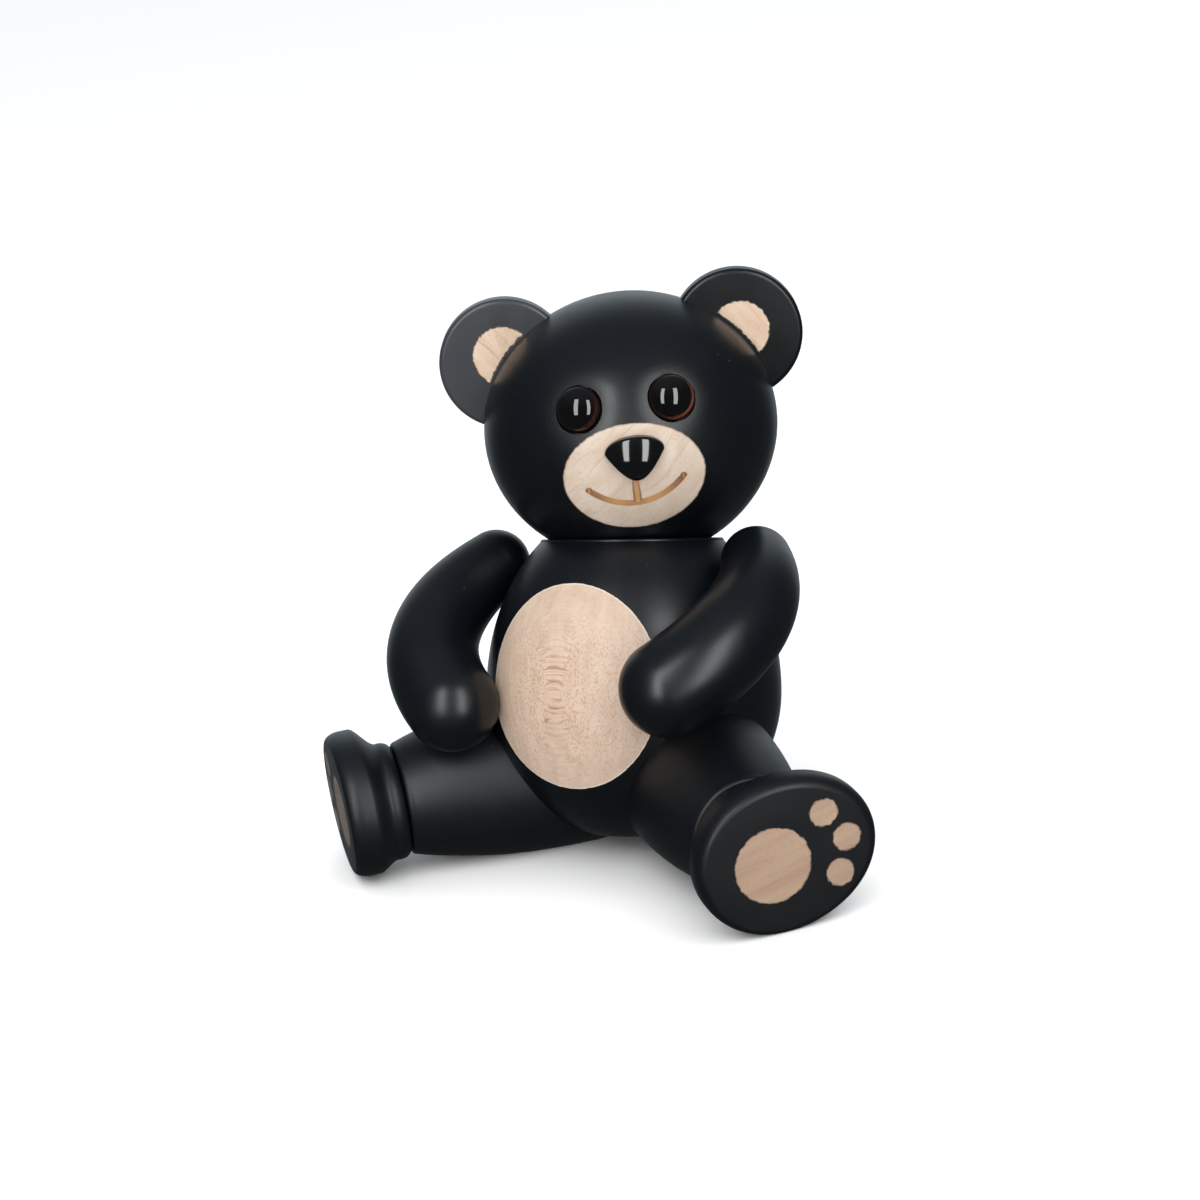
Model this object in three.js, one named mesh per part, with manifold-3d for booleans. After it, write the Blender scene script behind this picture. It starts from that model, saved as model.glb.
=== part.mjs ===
// A sitting wooden bear figurine, about 110 mm tall, in millimetres.
// X runs to the bear's left, minus Y is its front and Z is up. The origin is on the floor,
// under the middle of the seat.
import * as THREE from 'three';
import { mergeVertices } from 'three/addons/utils/BufferGeometryUtils.js';
import Module from 'manifold-3d';

const wasm = await Module();
wasm.setup();

const { sin, cos, tan, asin, acos, hypot, atan2, PI } = Math;
const radians = THREE.MathUtils.degToRad;
const LEFT = 1;
const RIGHT = -1;

// Joints between pieces
const fitGap = 0.3;

// Torso: a ball below its widest part, drawn up into shoulders that end at a level rim.
// A small turned flat closes it underneath, and it leans back on the edge of that flat.
const bodyRadius = 30.2;
const shoulderLength = 39;
const underLength = 30.6;
const baseRadius = 9.6;
const bodyHeight = 29.5;
const neckHeight = 31.1;
const leanBack = 17.3;
const leanRight = 3;
const torsoTurn = 5;

// Head: a ball pressed a little flat, which rests in a dish on the rim and looks to its left
const headRadius = 30;
const headHalfHeight = 27.4;
const headLift = 54.1;
const headTurn = 32;

// Ears: round discs let into the sides of the head, level with its middle
const earRadius = 13.4;
const earThickness = 4.6;
const earEdge = 1.1;
const earSpread = 23.7;
const earRise = 15.95;

// Eyes: glass domes in shallow bevelled sockets
const eyeRadius = 4.6;
const eyeDome = 3.1;
const eyeStem = 2.2;
const eyeSide = 19.7;
const eyeUp = 21.7;
const eyeLift = 0.35;
const socketRadius = 4.95;
const socketRim = 6.3;
const socketDepth = 2.6;
const socketBevel = 0.7;

// Nose: a rounded triangle on its point with an arched top. Each place is half its width
// away from the middle and above the nose's own centre.
const noseBottom = -4.25;
const noseTop = 4.25;
const noseTip = { side: 1.8, up: -4.25 };
const noseFlank = { side: 3.7, up: -1.8 };
const noseCorner = { side: 5.6, up: 0.8 };
const noseCheek = { side: 6.5, up: 1.6 };
const noseArch = { side: 4.7, up: 4.25 };
const noseStand = 2.9;
const noseRise = 1;
const noseSide = 0.7;
const noseRound = 1.1;
const noseSunk = 3.2;

// Arms: bent sausages in the torso's frame, sideways, forward and up from its middle.
// The left one is bent a little further round the belly.
const shoulder = { side: 29.7, front: 4.2, up: 26.2 };
const elbow = { side: 42.4, front: 22.9, up: 11.9 };
const hand = {
  left: { side: 24.8, front: 29.9, up: -2.1 },
  right: { side: 25.7, front: 29.5, up: -1.6 },
};
const shoulderThickness = 7.1;
const elbowThickness = 9.9;
const handThickness = 9.45;
const leftArmRaise = 10;

// Legs: turned thighs that swell from the ankle joint to the seat. The right one lies flatter,
// is set less wide and is a little fuller.
const soleSide = { left: 52.3, right: 48.3 };
const soleFront = { left: 39.7, right: 40.4 };
const soleHeight = { left: 15, right: 14.25 };
const legSplay = { left: 48, right: 44.2 };
const legDrop = { left: 0.9, right: 0.2 };
const ankleJoint = 12.2;
const ankleRadius = 10.9;
const kneeRound = 1.1;
const calfRadius = 11.8;
const thighRadius = { left: 16.4, right: 17.1 };
const thighLength = { left: 34.7, right: 37.2 };
const thighEnd = 16.8;
const swell = 0.88;

// Feet: an egg shaped sole flange that draws in to a bead at the ankle
const heelRadius = 14.7;
const toeReach = 6.3;
const toeSharpness = 4.1;
const pawTilt = { left: 9, right: 0 };
const soleShift = { left: -0.75, right: 0.3 };
const footSize = { left: 1, right: 0.97 };
const soleCant = { left: 0, right: 1.2 };
const soleRound = 1.7;
const soleRoundDepth = 3.2;
const flangeThickness = 5;
const waist = 9.4;
const waistRadius = 12.1;
const beadRadius = 12.15;
const beadBevel = 0.6;

// Fineness of the facets
const bodySides = 36;
const underSteps = 12;
const shoulderSteps = 8;
const headSides = 36;
const headRings = 20;
const earSides = 32;
const eyeSides = 18;
const domeSteps = 5;
const edgeSteps = 3;
const noseSteps = 5;
const armSides = 16;
const armRings = 12;
const armCapRings = 4;
const legSides = 28;
const thighSteps = 7;
const endSteps = 5;
const footSides = 30;
const waistSteps = 5;
const weldTolerance = 1e-4;
const slabSize = 400;

const blackLacquer = { color: 0x1d2024, roughness: 0.38, metalness: 0 };
const amberGlass = { color: 0x2a1208, roughness: 0.04, metalness: 0 };
const glossBlack = { color: 0x0b0b0c, roughness: 0.08, metalness: 0 };

// Solids and booleans

function toManifold(geometry) {
  const bare = geometry.clone();
  for (const name of Object.keys(bare.attributes)) {
    if (name !== 'position') bare.deleteAttribute(name);
  }
  const merged = mergeVertices(bare, weldTolerance);
  const mesh = new wasm.Mesh({
    numProp: 3,
    vertProperties: new Float32Array(merged.attributes.position.array),
    triVerts: new Uint32Array(merged.index.array),
  });
  mesh.merge();
  return new wasm.Manifold(mesh);
}

function toGeometry(manifold) {
  const mesh = manifold.getMesh();
  const geometry = new THREE.BufferGeometry();
  geometry.setAttribute('position', new THREE.Float32BufferAttribute(mesh.vertProperties, 3));
  geometry.setIndex(Array.from(mesh.triVerts));
  geometry.computeVertexNormals();
  return geometry;
}

// A shape made in a carrier's own frame, moved into the world to cut other pieces with.
function inWorld(geometry, carrier) {
  carrier.updateWorldMatrix(true, false);
  return geometry.applyMatrix4(carrier.matrixWorld);
}

// Cuts world-space shapes out of a placed mesh.
function carve(target, ...cutters) {
  target.updateWorldMatrix(true, false);
  const toLocal = target.matrixWorld.clone().invert();
  let solid = toManifold(target.geometry);
  for (const cutter of cutters) {
    solid = solid.subtract(toManifold(cutter.clone().applyMatrix4(toLocal)));
  }
  target.geometry = toGeometry(solid);
}

function piece(name, geometry, finish, parent) {
  const mesh = new THREE.Mesh(geometry, new THREE.MeshStandardMaterial(finish));
  mesh.name = name;
  parent.add(mesh);
  return mesh;
}

// A turned solid: profile points are (radius, height), and the axis becomes Z.
function turned(profile, sides) {
  const points = profile.map(([radius, height]) => new THREE.Vector2(radius, height));
  return new THREE.LatheGeometry(points, sides).rotateX(PI / 2);
}

// Points of an ellipse about the origin, from one angle to another.
function ellipseArc(radius, height, from, to, steps) {
  const points = [];
  for (let i = 0; i <= steps; i += 1) {
    const angle = from + (to - from) * i / steps;
    points.push([radius * cos(angle), height * sin(angle)]);
  }
  return points;
}

function smooth(part) {
  return THREE.MathUtils.smoothstep(part, 0, 1);
}

// Groups that carry the pieces

const bear = new THREE.Group();

const torso = new THREE.Group();
torso.position.set(0, 0, bodyHeight);
torso.rotation.set(-radians(leanBack), -radians(leanRight), 0);
bear.add(torso);

const front = new THREE.Group();
front.rotation.z = radians(torsoTurn);
torso.add(front);

const headGroup = new THREE.Group();
torso.updateWorldMatrix(true, false);
headGroup.position.copy(torso.localToWorld(new THREE.Vector3(0, 0, headLift)));
headGroup.rotation.z = radians(headTurn);
bear.add(headGroup);

// A leg's own frame: Z points out of the sole, X away from the body's middle.
function legGroup(name, side) {
  const splay = radians(legSplay[name]);
  const drop = radians(legDrop[name]);
  const outward = new THREE.Vector3(side * cos(splay), sin(splay), 0);
  const along = new THREE.Vector3(side * sin(splay) * cos(drop), -cos(splay) * cos(drop), -sin(drop));
  const across = new THREE.Vector3().crossVectors(along, outward);
  const group = new THREE.Group();
  group.position.set(side * soleSide[name], -soleFront[name], soleHeight[name]);
  group.quaternion.setFromRotationMatrix(new THREE.Matrix4().makeBasis(outward, across, along));
  bear.add(group);
  return group;
}

// Body

function bodyProfile(margin) {
  const radius = bodyRadius + margin;
  const upper = shoulderLength + margin;
  const lower = underLength + margin;
  const under = ellipseArc(radius, lower, -acos(baseRadius / radius), 0, underSteps);
  const over = ellipseArc(radius, upper, 0, asin(neckHeight / upper), shoulderSteps);
  const base = under[0][1];
  return [[0, base], ...under, ...over.slice(1), [0, neckHeight]];
}

function ball(radius, halfHeight) {
  return new THREE.SphereGeometry(radius, headSides, headRings)
    .rotateX(PI / 2)
    .scale(1, 1, halfHeight / radius);
}

const headRoom = inWorld(ball(headRadius + fitGap, headHalfHeight + fitGap), headGroup);
const bodyRoom = inWorld(turned(bodyProfile(fitGap), bodySides), torso);
const floorSlab = new THREE.BoxGeometry(slabSize, slabSize, slabSize).translate(0, 0, -slabSize / 2);

const body = piece('body', turned(bodyProfile(0), bodySides), blackLacquer, torso);
carve(body, headRoom, floorSlab);

// Head with its eye sockets

function headPoint(side, up) {
  const azimuth = radians(side);
  const elevation = radians(up);
  const flat = cos(elevation);
  const direction = new THREE.Vector3(flat * sin(azimuth), -flat * cos(azimuth), sin(elevation));
  const reach = 1 / hypot(flat / headRadius, sin(elevation) / headHalfHeight);
  return direction.multiplyScalar(reach);
}

function headNormal(point) {
  return new THREE.Vector3(
    point.x / headRadius ** 2,
    point.y / headRadius ** 2,
    point.z / headHalfHeight ** 2,
  ).normalize();
}

// A frame on the head's surface whose Z points outwards.
function onHead(side, up) {
  const point = headPoint(side, up);
  const group = new THREE.Group();
  group.position.copy(point);
  group.quaternion.setFromUnitVectors(new THREE.Vector3(0, 0, 1), headNormal(point));
  headGroup.add(group);
  return group;
}

function socketShape() {
  return turned([
    [0, -socketDepth],
    [socketRadius, -socketDepth],
    [socketRadius, -socketBevel],
    [socketRim, socketBevel],
    [socketRim, eyeDome],
    [0, eyeDome],
  ], eyeSides);
}

function eyeShape() {
  const dome = ellipseArc(eyeRadius, eyeDome, 0, PI / 2, domeSteps)
    .map(([radius, height]) => [radius, height - eyeLift]);
  return turned([
    [0, -eyeStem],
    [eyeRadius, -eyeStem],
    ...dome.slice(0, -1),
    [0, eyeDome - eyeLift],
  ], eyeSides);
}

const head = piece('head', ball(headRadius, headHalfHeight), blackLacquer, headGroup);
const leftEye = onHead(eyeSide, eyeUp);
const rightEye = onHead(-eyeSide, eyeUp);
carve(head, inWorld(socketShape(), leftEye), inWorld(socketShape(), rightEye));
piece('eye_left', eyeShape(), amberGlass, leftEye);
piece('eye_right', eyeShape(), amberGlass, rightEye);

// Ears

function earShape() {
  const rim = earRadius - earEdge;
  const back = ellipseArc(earEdge, earEdge, -PI / 2, 0, edgeSteps)
    .map(([out, up]) => [rim + out, up + earEdge - earThickness]);
  const face = ellipseArc(earEdge, earEdge, 0, PI / 2, edgeSteps)
    .map(([out, up]) => [rim + out, up - earEdge]);
  return turned([[0, -earThickness], ...back, ...face, [0, 0]], earSides).rotateX(PI / 2);
}

function ear(name, side) {
  const mesh = piece(name, earShape(), blackLacquer, headGroup);
  mesh.position.set(side * earSpread, 0, earRise);
  carve(mesh, headRoom);
}

ear('ear_left', LEFT);
ear('ear_right', RIGHT);

// Nose

function noseOutline() {
  const shape = new THREE.Shape();
  shape.moveTo(0, noseBottom);
  shape.bezierCurveTo(
    noseTip.side, noseTip.up, noseFlank.side, noseFlank.up, noseCorner.side, noseCorner.up,
  );
  shape.bezierCurveTo(
    noseCheek.side, noseCheek.up, noseArch.side, noseArch.up, 0, noseTop,
  );
  shape.bezierCurveTo(
    -noseArch.side, noseArch.up, -noseCheek.side, noseCheek.up, -noseCorner.side, noseCorner.up,
  );
  shape.bezierCurveTo(
    -noseFlank.side, noseFlank.up, -noseTip.side, noseTip.up, 0, noseBottom,
  );
  return shape;
}

function noseShape() {
  const geometry = new THREE.ExtrudeGeometry(noseOutline(), {
    depth: noseSunk + noseStand - 2 * noseRound,
    curveSegments: noseSteps,
    bevelThickness: noseRound,
    bevelSize: noseRound,
    bevelOffset: -noseRound,
    bevelSegments: edgeSteps,
  });
  geometry.translate(0, 0, noseRound - noseSunk);
  return geometry.rotateX(PI / 2);
}

const nose = piece('nose', noseShape(), glossBlack, headGroup);
nose.position.set(noseSide, -headRadius, noseRise);
carve(nose, headRoom);

// Arms

// A capsule bent along a curve, its thickness following the curve as well.
function bentCapsule(curve, thickness) {
  const straight = new THREE.CapsuleGeometry(1, 2, armCapRings, armSides, armRings);
  const position = straight.attributes.position;
  const place = new THREE.Vector3();
  const out = new THREE.Vector3();
  const bend = new THREE.Vector3().crossVectors(curve.getTangent(0), curve.getTangent(1)).normalize();
  for (let i = 0; i < position.count; i += 1) {
    place.fromBufferAttribute(position, i);
    const along = THREE.MathUtils.clamp((place.y + 1) / 2, 0, 1);
    const beyond = place.y - THREE.MathUtils.clamp(place.y, -1, 1);
    const tangent = curve.getTangent(along);
    const inward = new THREE.Vector3().crossVectors(bend, tangent);
    const radius = thickness(along);
    out.copy(curve.getPoint(along))
      .addScaledVector(inward, place.x * radius)
      .addScaledVector(bend, -place.z * radius)
      .addScaledVector(tangent, beyond * radius);
    position.setXYZ(i, out.x, out.y, out.z);
  }
  return straight;
}

function armPoint(place, side) {
  return new THREE.Vector3(side * place.side, -place.front, place.up);
}

function armThickness(along) {
  const back = 1 - along;
  return back ** 2 * shoulderThickness + 2 * back * along * elbowThickness
    + along ** 2 * handThickness;
}

// An arm hangs on its shoulder point, about which a raise turns it.
function arm(name, side, end, raise) {
  const root = armPoint(shoulder, side);
  const curve = new THREE.QuadraticBezierCurve3(
    new THREE.Vector3(),
    armPoint(elbow, side).sub(root),
    armPoint(end, side).sub(root),
  );
  const mesh = piece(name, bentCapsule(curve, armThickness), blackLacquer, front);
  mesh.position.copy(root);
  mesh.rotation.x = -radians(raise);
  carve(mesh, bodyRoom, headRoom);
}

arm('arm_left', LEFT, hand.left, leftArmRaise);
arm('arm_right', RIGHT, hand.right, 0);

// Legs and feet, with heights measured from the sole along minus Z

function legProfile(name) {
  const widest = thighRadius[name];
  const length = thighLength[name];
  const profile = [[0, 0], [ankleRadius, 0], [calfRadius, -kneeRound]];
  for (let i = 1; i <= thighSteps; i += 1) {
    const part = i / thighSteps;
    const radius = calfRadius + (widest - calfRadius) * sin(PI / 2 * part ** swell);
    profile.push([radius, -length * part]);
  }
  const end = ellipseArc(widest, thighEnd, 0, -PI / 2, endSteps);
  for (const [radius, height] of end.slice(1, -1)) profile.push([radius, height - length]);
  profile.push([0, -length - thighEnd]);
  return profile.reverse();
}

// How far the egg shaped sole reaches past its round heel, in a direction across the foot.
function toeBulge(angle) {
  return toeReach * ((1 + cos(angle)) / 2) ** toeSharpness;
}

function footProfile() {
  const edge = ellipseArc(soleRound, soleRoundDepth, PI / 2, 0, edgeSteps)
    .map(([out, up]) => [heelRadius - soleRound + out, up - soleRoundDepth]);
  const profile = [[0, 0], ...edge, [heelRadius, -flangeThickness]];
  for (let i = 1; i <= waistSteps; i += 1) {
    const part = i / waistSteps;
    const height = flangeThickness + (waist - flangeThickness) * part;
    profile.push([heelRadius + (waistRadius - heelRadius) * smooth(part), -height]);
  }
  profile.push([beadRadius, -waist - beadBevel]);
  profile.push([beadRadius, -ankleJoint + beadRadius - ankleRadius]);
  profile.push([ankleRadius, -ankleJoint], [0, -ankleJoint]);
  return profile.reverse();
}

// The turned foot drawn out to its egg shape, most at the sole and not at all from the waist on.
function footShape(name, side) {
  const geometry = turned(footProfile(), footSides);
  const position = geometry.attributes.position;
  for (let i = 0; i < position.count; i += 1) {
    const x = position.getX(i);
    const y = position.getY(i);
    const z = position.getZ(i);
    const angle = atan2(side * y, x) - radians(pawTilt[name]);
    const flange = 1 - smooth((-z - flangeThickness) / (waist - flangeThickness));
    const grown = 1 + flange * (footSize[name] * (1 + toeBulge(angle) / heelRadius) - 1);
    const shift = side * flange * soleShift[name];
    const cant = flange * tan(radians(soleCant[name])) * x * grown;
    position.setXYZ(i, x * grown, y * grown + shift, z + cant);
  }
  return geometry;
}

function leg(name, side) {
  const group = legGroup(name, side);
  const thigh = piece(`leg_${name}`, turned(legProfile(name), legSides), blackLacquer, group);
  thigh.position.z = -ankleJoint - fitGap;
  carve(thigh, bodyRoom, floorSlab);
  const foot = piece(`foot_${name}`, footShape(name, side), blackLacquer, group);
  carve(foot, floorSlab);
}

leg('left', LEFT);
leg('right', RIGHT);

export default bear;
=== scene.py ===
"""Dresses a sitting wooden bear: turned beech in satin black lacquer with bare maple-pale patches.

Lengths are given in millimetres and angles in degrees, and meshes are made in metres in the row's
frame: +X is the bear's left, -Y its front and +Z up.
"""

import logging
import math
from collections.abc import Callable, Iterator
from contextlib import contextmanager
from dataclasses import dataclass, field
from enum import Enum

import bpy
from mathutils import Matrix, Vector

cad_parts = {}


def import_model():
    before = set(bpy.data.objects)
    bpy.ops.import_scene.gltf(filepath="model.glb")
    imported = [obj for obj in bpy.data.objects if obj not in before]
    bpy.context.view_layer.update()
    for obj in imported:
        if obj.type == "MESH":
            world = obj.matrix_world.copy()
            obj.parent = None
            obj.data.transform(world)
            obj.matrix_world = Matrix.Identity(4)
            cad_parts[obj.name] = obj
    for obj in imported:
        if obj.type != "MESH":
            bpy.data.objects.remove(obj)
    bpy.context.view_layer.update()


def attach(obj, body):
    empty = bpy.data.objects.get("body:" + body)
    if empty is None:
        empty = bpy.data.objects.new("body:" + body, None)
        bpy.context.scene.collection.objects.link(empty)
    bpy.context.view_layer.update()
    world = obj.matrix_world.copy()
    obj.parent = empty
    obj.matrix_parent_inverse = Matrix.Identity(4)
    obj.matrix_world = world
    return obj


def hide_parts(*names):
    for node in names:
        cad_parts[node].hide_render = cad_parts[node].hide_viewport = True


log = logging.getLogger("bear")

MM = 0.001
Profile = list[tuple[float, float]]
Piece = bpy.types.Object
Tree = bpy.types.NodeTree
Socket = bpy.types.NodeSocket


class Side(Enum):
    """The bear's own left and right."""

    LEFT = 1
    RIGHT = -1

    @property
    def word(self) -> str:
        """The word that ends a node's name."""
        return self.name.lower()


# Frames


def shift(x: float, y: float, z: float) -> Matrix:
    """A move in millimetres."""
    return Matrix.Translation(Vector((x, y, z)) * MM)


def turn_about(axis: str, degrees: float) -> Matrix:
    """A turn about one of a frame's own axes."""
    return Matrix.Rotation(math.radians(degrees), 4, axis)


def direction(side: float, up: float) -> Vector:
    """A direction from two angles.

    Args:
        side: the angle from the front, -Y, round towards +X.
        up: the angle above the level.

    Returns:
        The direction, with a length of 1.
    """
    across, rise = math.radians(side), math.radians(up)
    flat = math.cos(rise)
    return Vector((flat * math.sin(across), -flat * math.cos(across), math.sin(rise)))


def along_axes(x_axis: Vector, y_axis: Vector, z_axis: Vector) -> Matrix:
    """A turn that lays a frame's axes along three directions."""
    return Matrix((x_axis, y_axis, z_axis)).transposed().to_4x4()


def aimed(place: Vector, out: Vector) -> Matrix:
    """A frame at a place in millimetres whose Z points outwards.

    Args:
        place: the frame's origin.
        out: the direction of its Z axis.

    Returns:
        The frame, with its X axis level.
    """
    z_axis = out.normalized()
    x_axis = Vector((0, 0, 1)).cross(z_axis).normalized()
    return shift(*place) @ along_axes(x_axis, z_axis.cross(x_axis), z_axis)


@dataclass(frozen=True)
class Stance:
    """How the bear sits: the frames that carry its pieces."""

    body_height: float = 29.5
    lean_back: float = 17.3
    lean_right: float = 3
    torso_turn: float = 5
    head_lift: float = 54.1
    head_turn: float = 32

    def torso(self) -> Matrix:
        """The torso's frame, its Z along the neck."""
        lean = turn_about("X", -self.lean_back) @ turn_about("Y", -self.lean_right)
        return shift(0, 0, self.body_height) @ lean

    def front(self) -> Matrix:
        """The torso's frame turned to where the belly looks."""
        return self.torso() @ turn_about("Z", self.torso_turn)

    def head(self) -> Matrix:
        """The head's frame, level and looking along its own -Y."""
        middle = self.torso() @ (Vector((0, 0, self.head_lift)) * MM)
        return Matrix.Translation(middle) @ turn_about("Z", self.head_turn)


# Modelling


def pick(piece: Piece) -> None:
    """Makes a piece the only selected and active object.

    Args:
        piece: the piece.
    """
    if bpy.context.mode != "OBJECT":
        bpy.ops.object.mode_set(mode="OBJECT")
    bpy.ops.object.select_all(action="DESELECT")
    piece.select_set(True)
    bpy.context.view_layer.objects.active = piece


@contextmanager
def editing(piece: Piece, kind: str = "VERT") -> Iterator[None]:
    """Opens a piece's mesh with all of it selected, and closes it afterwards.

    Args:
        piece: the piece.
        kind: what is selected: VERT, EDGE or FACE.
    """
    pick(piece)
    bpy.ops.object.mode_set(mode="EDIT")
    bpy.ops.mesh.select_mode(type=kind)
    bpy.ops.mesh.select_all(action="SELECT")
    yield
    bpy.ops.object.mode_set(mode="OBJECT")


def open_at(piece: Piece, kind: str, wanted: Callable[..., bool]) -> None:
    """Opens a piece's mesh with only some of its faces or edges selected.

    Args:
        piece: the piece.
        kind: what is selected: EDGE or FACE.
        wanted: whether an edge or a face is selected.
    """
    with editing(piece, kind):
        bpy.ops.mesh.select_all(action="DESELECT")
    for part in piece.data.polygons if kind == "FACE" else piece.data.edges:
        part.select = wanted(part)
    bpy.ops.object.mode_set(mode="EDIT")


def named(name: str) -> Piece:
    """Names the object that was just added.

    Args:
        name: the name for the object and its mesh.

    Returns:
        The object.
    """
    piece = bpy.context.object
    piece.name = name
    piece.data.name = name
    return piece


def ellipse_arc(radius: float, height: float, start: float, end: float, steps: int) -> Profile:
    """Points of an ellipse about the origin.

    Args:
        radius: half its width.
        height: half its height.
        start: the first point's angle in degrees.
        end: the last point's angle in degrees.
        steps: how many stretches to cut it into.

    Returns:
        The points, as radius and height.
    """
    points = []
    for step in range(steps + 1):
        angle = math.radians(start + (end - start) * step / steps)
        points.append((radius * math.cos(angle), height * math.sin(angle)))
    return points


def turned(name: str, profile: Profile, sides: int) -> Piece:
    """Turns a profile about Z, as on a lathe.

    Args:
        name: the piece's name.
        profile: points as radius and height in millimetres, from axis to axis.
        sides: how many sides the round gets.

    Returns:
        The closed piece, about the origin.
    """
    bpy.ops.object.select_all(action="DESELECT")
    bpy.ops.mesh.primitive_plane_add(size=MM)
    piece = named(name)
    with editing(piece):
        bpy.ops.mesh.merge(type="CENTER")
        here = Vector((profile[0][0], 0, profile[0][1])) * MM
        bpy.ops.transform.translate(value=here)
        for radius, height in profile[1:]:
            there = Vector((radius, 0, height)) * MM
            bpy.ops.mesh.extrude_region_move(TRANSFORM_OT_translate={"value": there - here})
            here = there
        bpy.ops.mesh.select_all(action="SELECT")
        bpy.ops.mesh.spin(steps=sides, angle=math.tau, center=(0, 0, 0), axis=(0, 0, 1))
        bpy.ops.mesh.select_all(action="SELECT")
        bpy.ops.mesh.remove_doubles(threshold=0.002 * MM)
        bpy.ops.mesh.normals_make_consistent(inside=False)
    return piece


def stand(piece: Piece, frame: Matrix) -> None:
    """Puts a piece that was made about the origin into a frame, with its place in its mesh.

    Args:
        piece: the piece.
        frame: the frame.
    """
    piece.matrix_world = frame
    pick(piece)
    bpy.ops.object.transform_apply(location=True, rotation=True, scale=True)


def cut_away(piece: Piece, cutter: Piece) -> None:
    """Cuts one shape out of another.

    Args:
        piece: what keeps the cut.
        cutter: the shape that is cut out, which is used up.
    """
    pick(piece)
    boolean = piece.modifiers.new("cut", "BOOLEAN")
    boolean.operation = "DIFFERENCE"
    boolean.solver = "EXACT"
    boolean.object = cutter
    bpy.ops.object.modifier_apply(modifier=boolean.name)
    bpy.data.objects.remove(cutter)


def cut_at_floor(piece: Piece) -> None:
    """Cuts a placed piece off level with the floor and closes it.

    Args:
        piece: the piece.
    """
    with editing(piece):
        bpy.ops.mesh.bisect(
            plane_co=(0, 0, 0), plane_no=(0, 0, 1), use_fill=True, clear_inner=True, threshold=1e-7
        )


def move_points(piece: Piece, rule: Callable[[Vector], Vector]) -> None:
    """Moves each vertex by a rule that takes and gives millimetres.

    Args:
        piece: the piece.
        rule: gives a vertex's new place for its old one.
    """
    for vertex in piece.data.vertices:
        vertex.co = rule(vertex.co / MM) * MM
    piece.data.update()


def smooth_shading(piece: Piece, sharp_from: float = 38) -> None:
    """Shades a piece smooth up to an angle between faces."""
    pick(piece)
    bpy.ops.object.shade_smooth_by_angle(angle=math.radians(sharp_from))


def smooth_step(part: float) -> float:
    """An even ease from 0 to 1."""
    part = min(max(part, 0), 1)
    return part * part * (3 - 2 * part)


# Materials


def linear(code: str) -> tuple[float, float, float, float]:
    """Turns an sRGB hex colour such as #c0ffee into linear red, green, blue and alpha.

    Args:
        code: the hex colour.

    Returns:
        The four channels.
    """
    channels = []
    for start in (1, 3, 5):
        value = int(code[start : start + 2], 16) / 255
        channels.append(value / 12.92 if value <= 0.04045 else ((value + 0.055) / 1.055) ** 2.4)
    return (channels[0], channels[1], channels[2], 1.0)


def add_node(tree: Tree, kind: str, inputs: dict, **settings: object) -> bpy.types.Node:
    """Adds a shader node.

    Args:
        tree: the material's node tree.
        kind: the node's type, without its ShaderNode prefix.
        inputs: input name or number to a value, or to the socket that feeds it.
        settings: the node's own properties.

    Returns:
        The node.
    """
    node = tree.nodes.new("ShaderNode" + kind)
    for name, value in settings.items():
        setattr(node, name, value)
    for name, value in inputs.items():
        if isinstance(value, Socket):
            tree.links.new(value, node.inputs[name])
        else:
            node.inputs[name].default_value = value
    return node


def blank_material(name: str) -> tuple[bpy.types.Material, Tree]:
    """A material with an empty node tree.

    Args:
        name: the material's name.

    Returns:
        The material and its node tree.
    """
    material = bpy.data.materials.new(name)
    material.use_nodes = True
    material.node_tree.nodes.clear()
    return material, material.node_tree


def finish_material(tree: Tree, shader: dict) -> None:
    """Adds the surface shader and the output.

    Args:
        tree: the material's node tree.
        shader: the shader's inputs.
    """
    surface = add_node(tree, "BsdfPrincipled", shader)
    add_node(tree, "OutputMaterial", {"Surface": surface.outputs["BSDF"]})


@dataclass(frozen=True)
class Patch:
    """A place that the lacquer leaves bare: an oval seen along its own frame's Y axis.

    Its depth keeps it from showing on a piece's far side.
    """

    frame: Matrix
    wide: float
    tall: float
    deep: float = 45

    def edge_distance(self, tree: Tree, place: Socket) -> Socket:
        """How many millimetres a point lies outside the oval, and less than 0 inside it.

        Args:
            tree: the material's node tree.
            place: the shaded point.

        Returns:
            The distance socket.
        """
        size = Vector((self.wide, self.deep, self.tall)) * MM
        local = add_node(
            tree,
            "Mapping",
            {
                "Vector": place,
                "Location": self.frame.translation,
                "Rotation": self.frame.to_euler("XYZ"),
                "Scale": size,
            },
            vector_type="TEXTURE",
        ).outputs[0]
        length = add_node(tree, "VectorMath", {0: local}, operation="LENGTH").outputs["Value"]
        mean = (self.wide + self.tall) / 2
        return add_node(
            tree, "Math", {0: length, 1: mean, 2: -mean}, operation="MULTIPLY_ADD"
        ).outputs[0]


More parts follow.
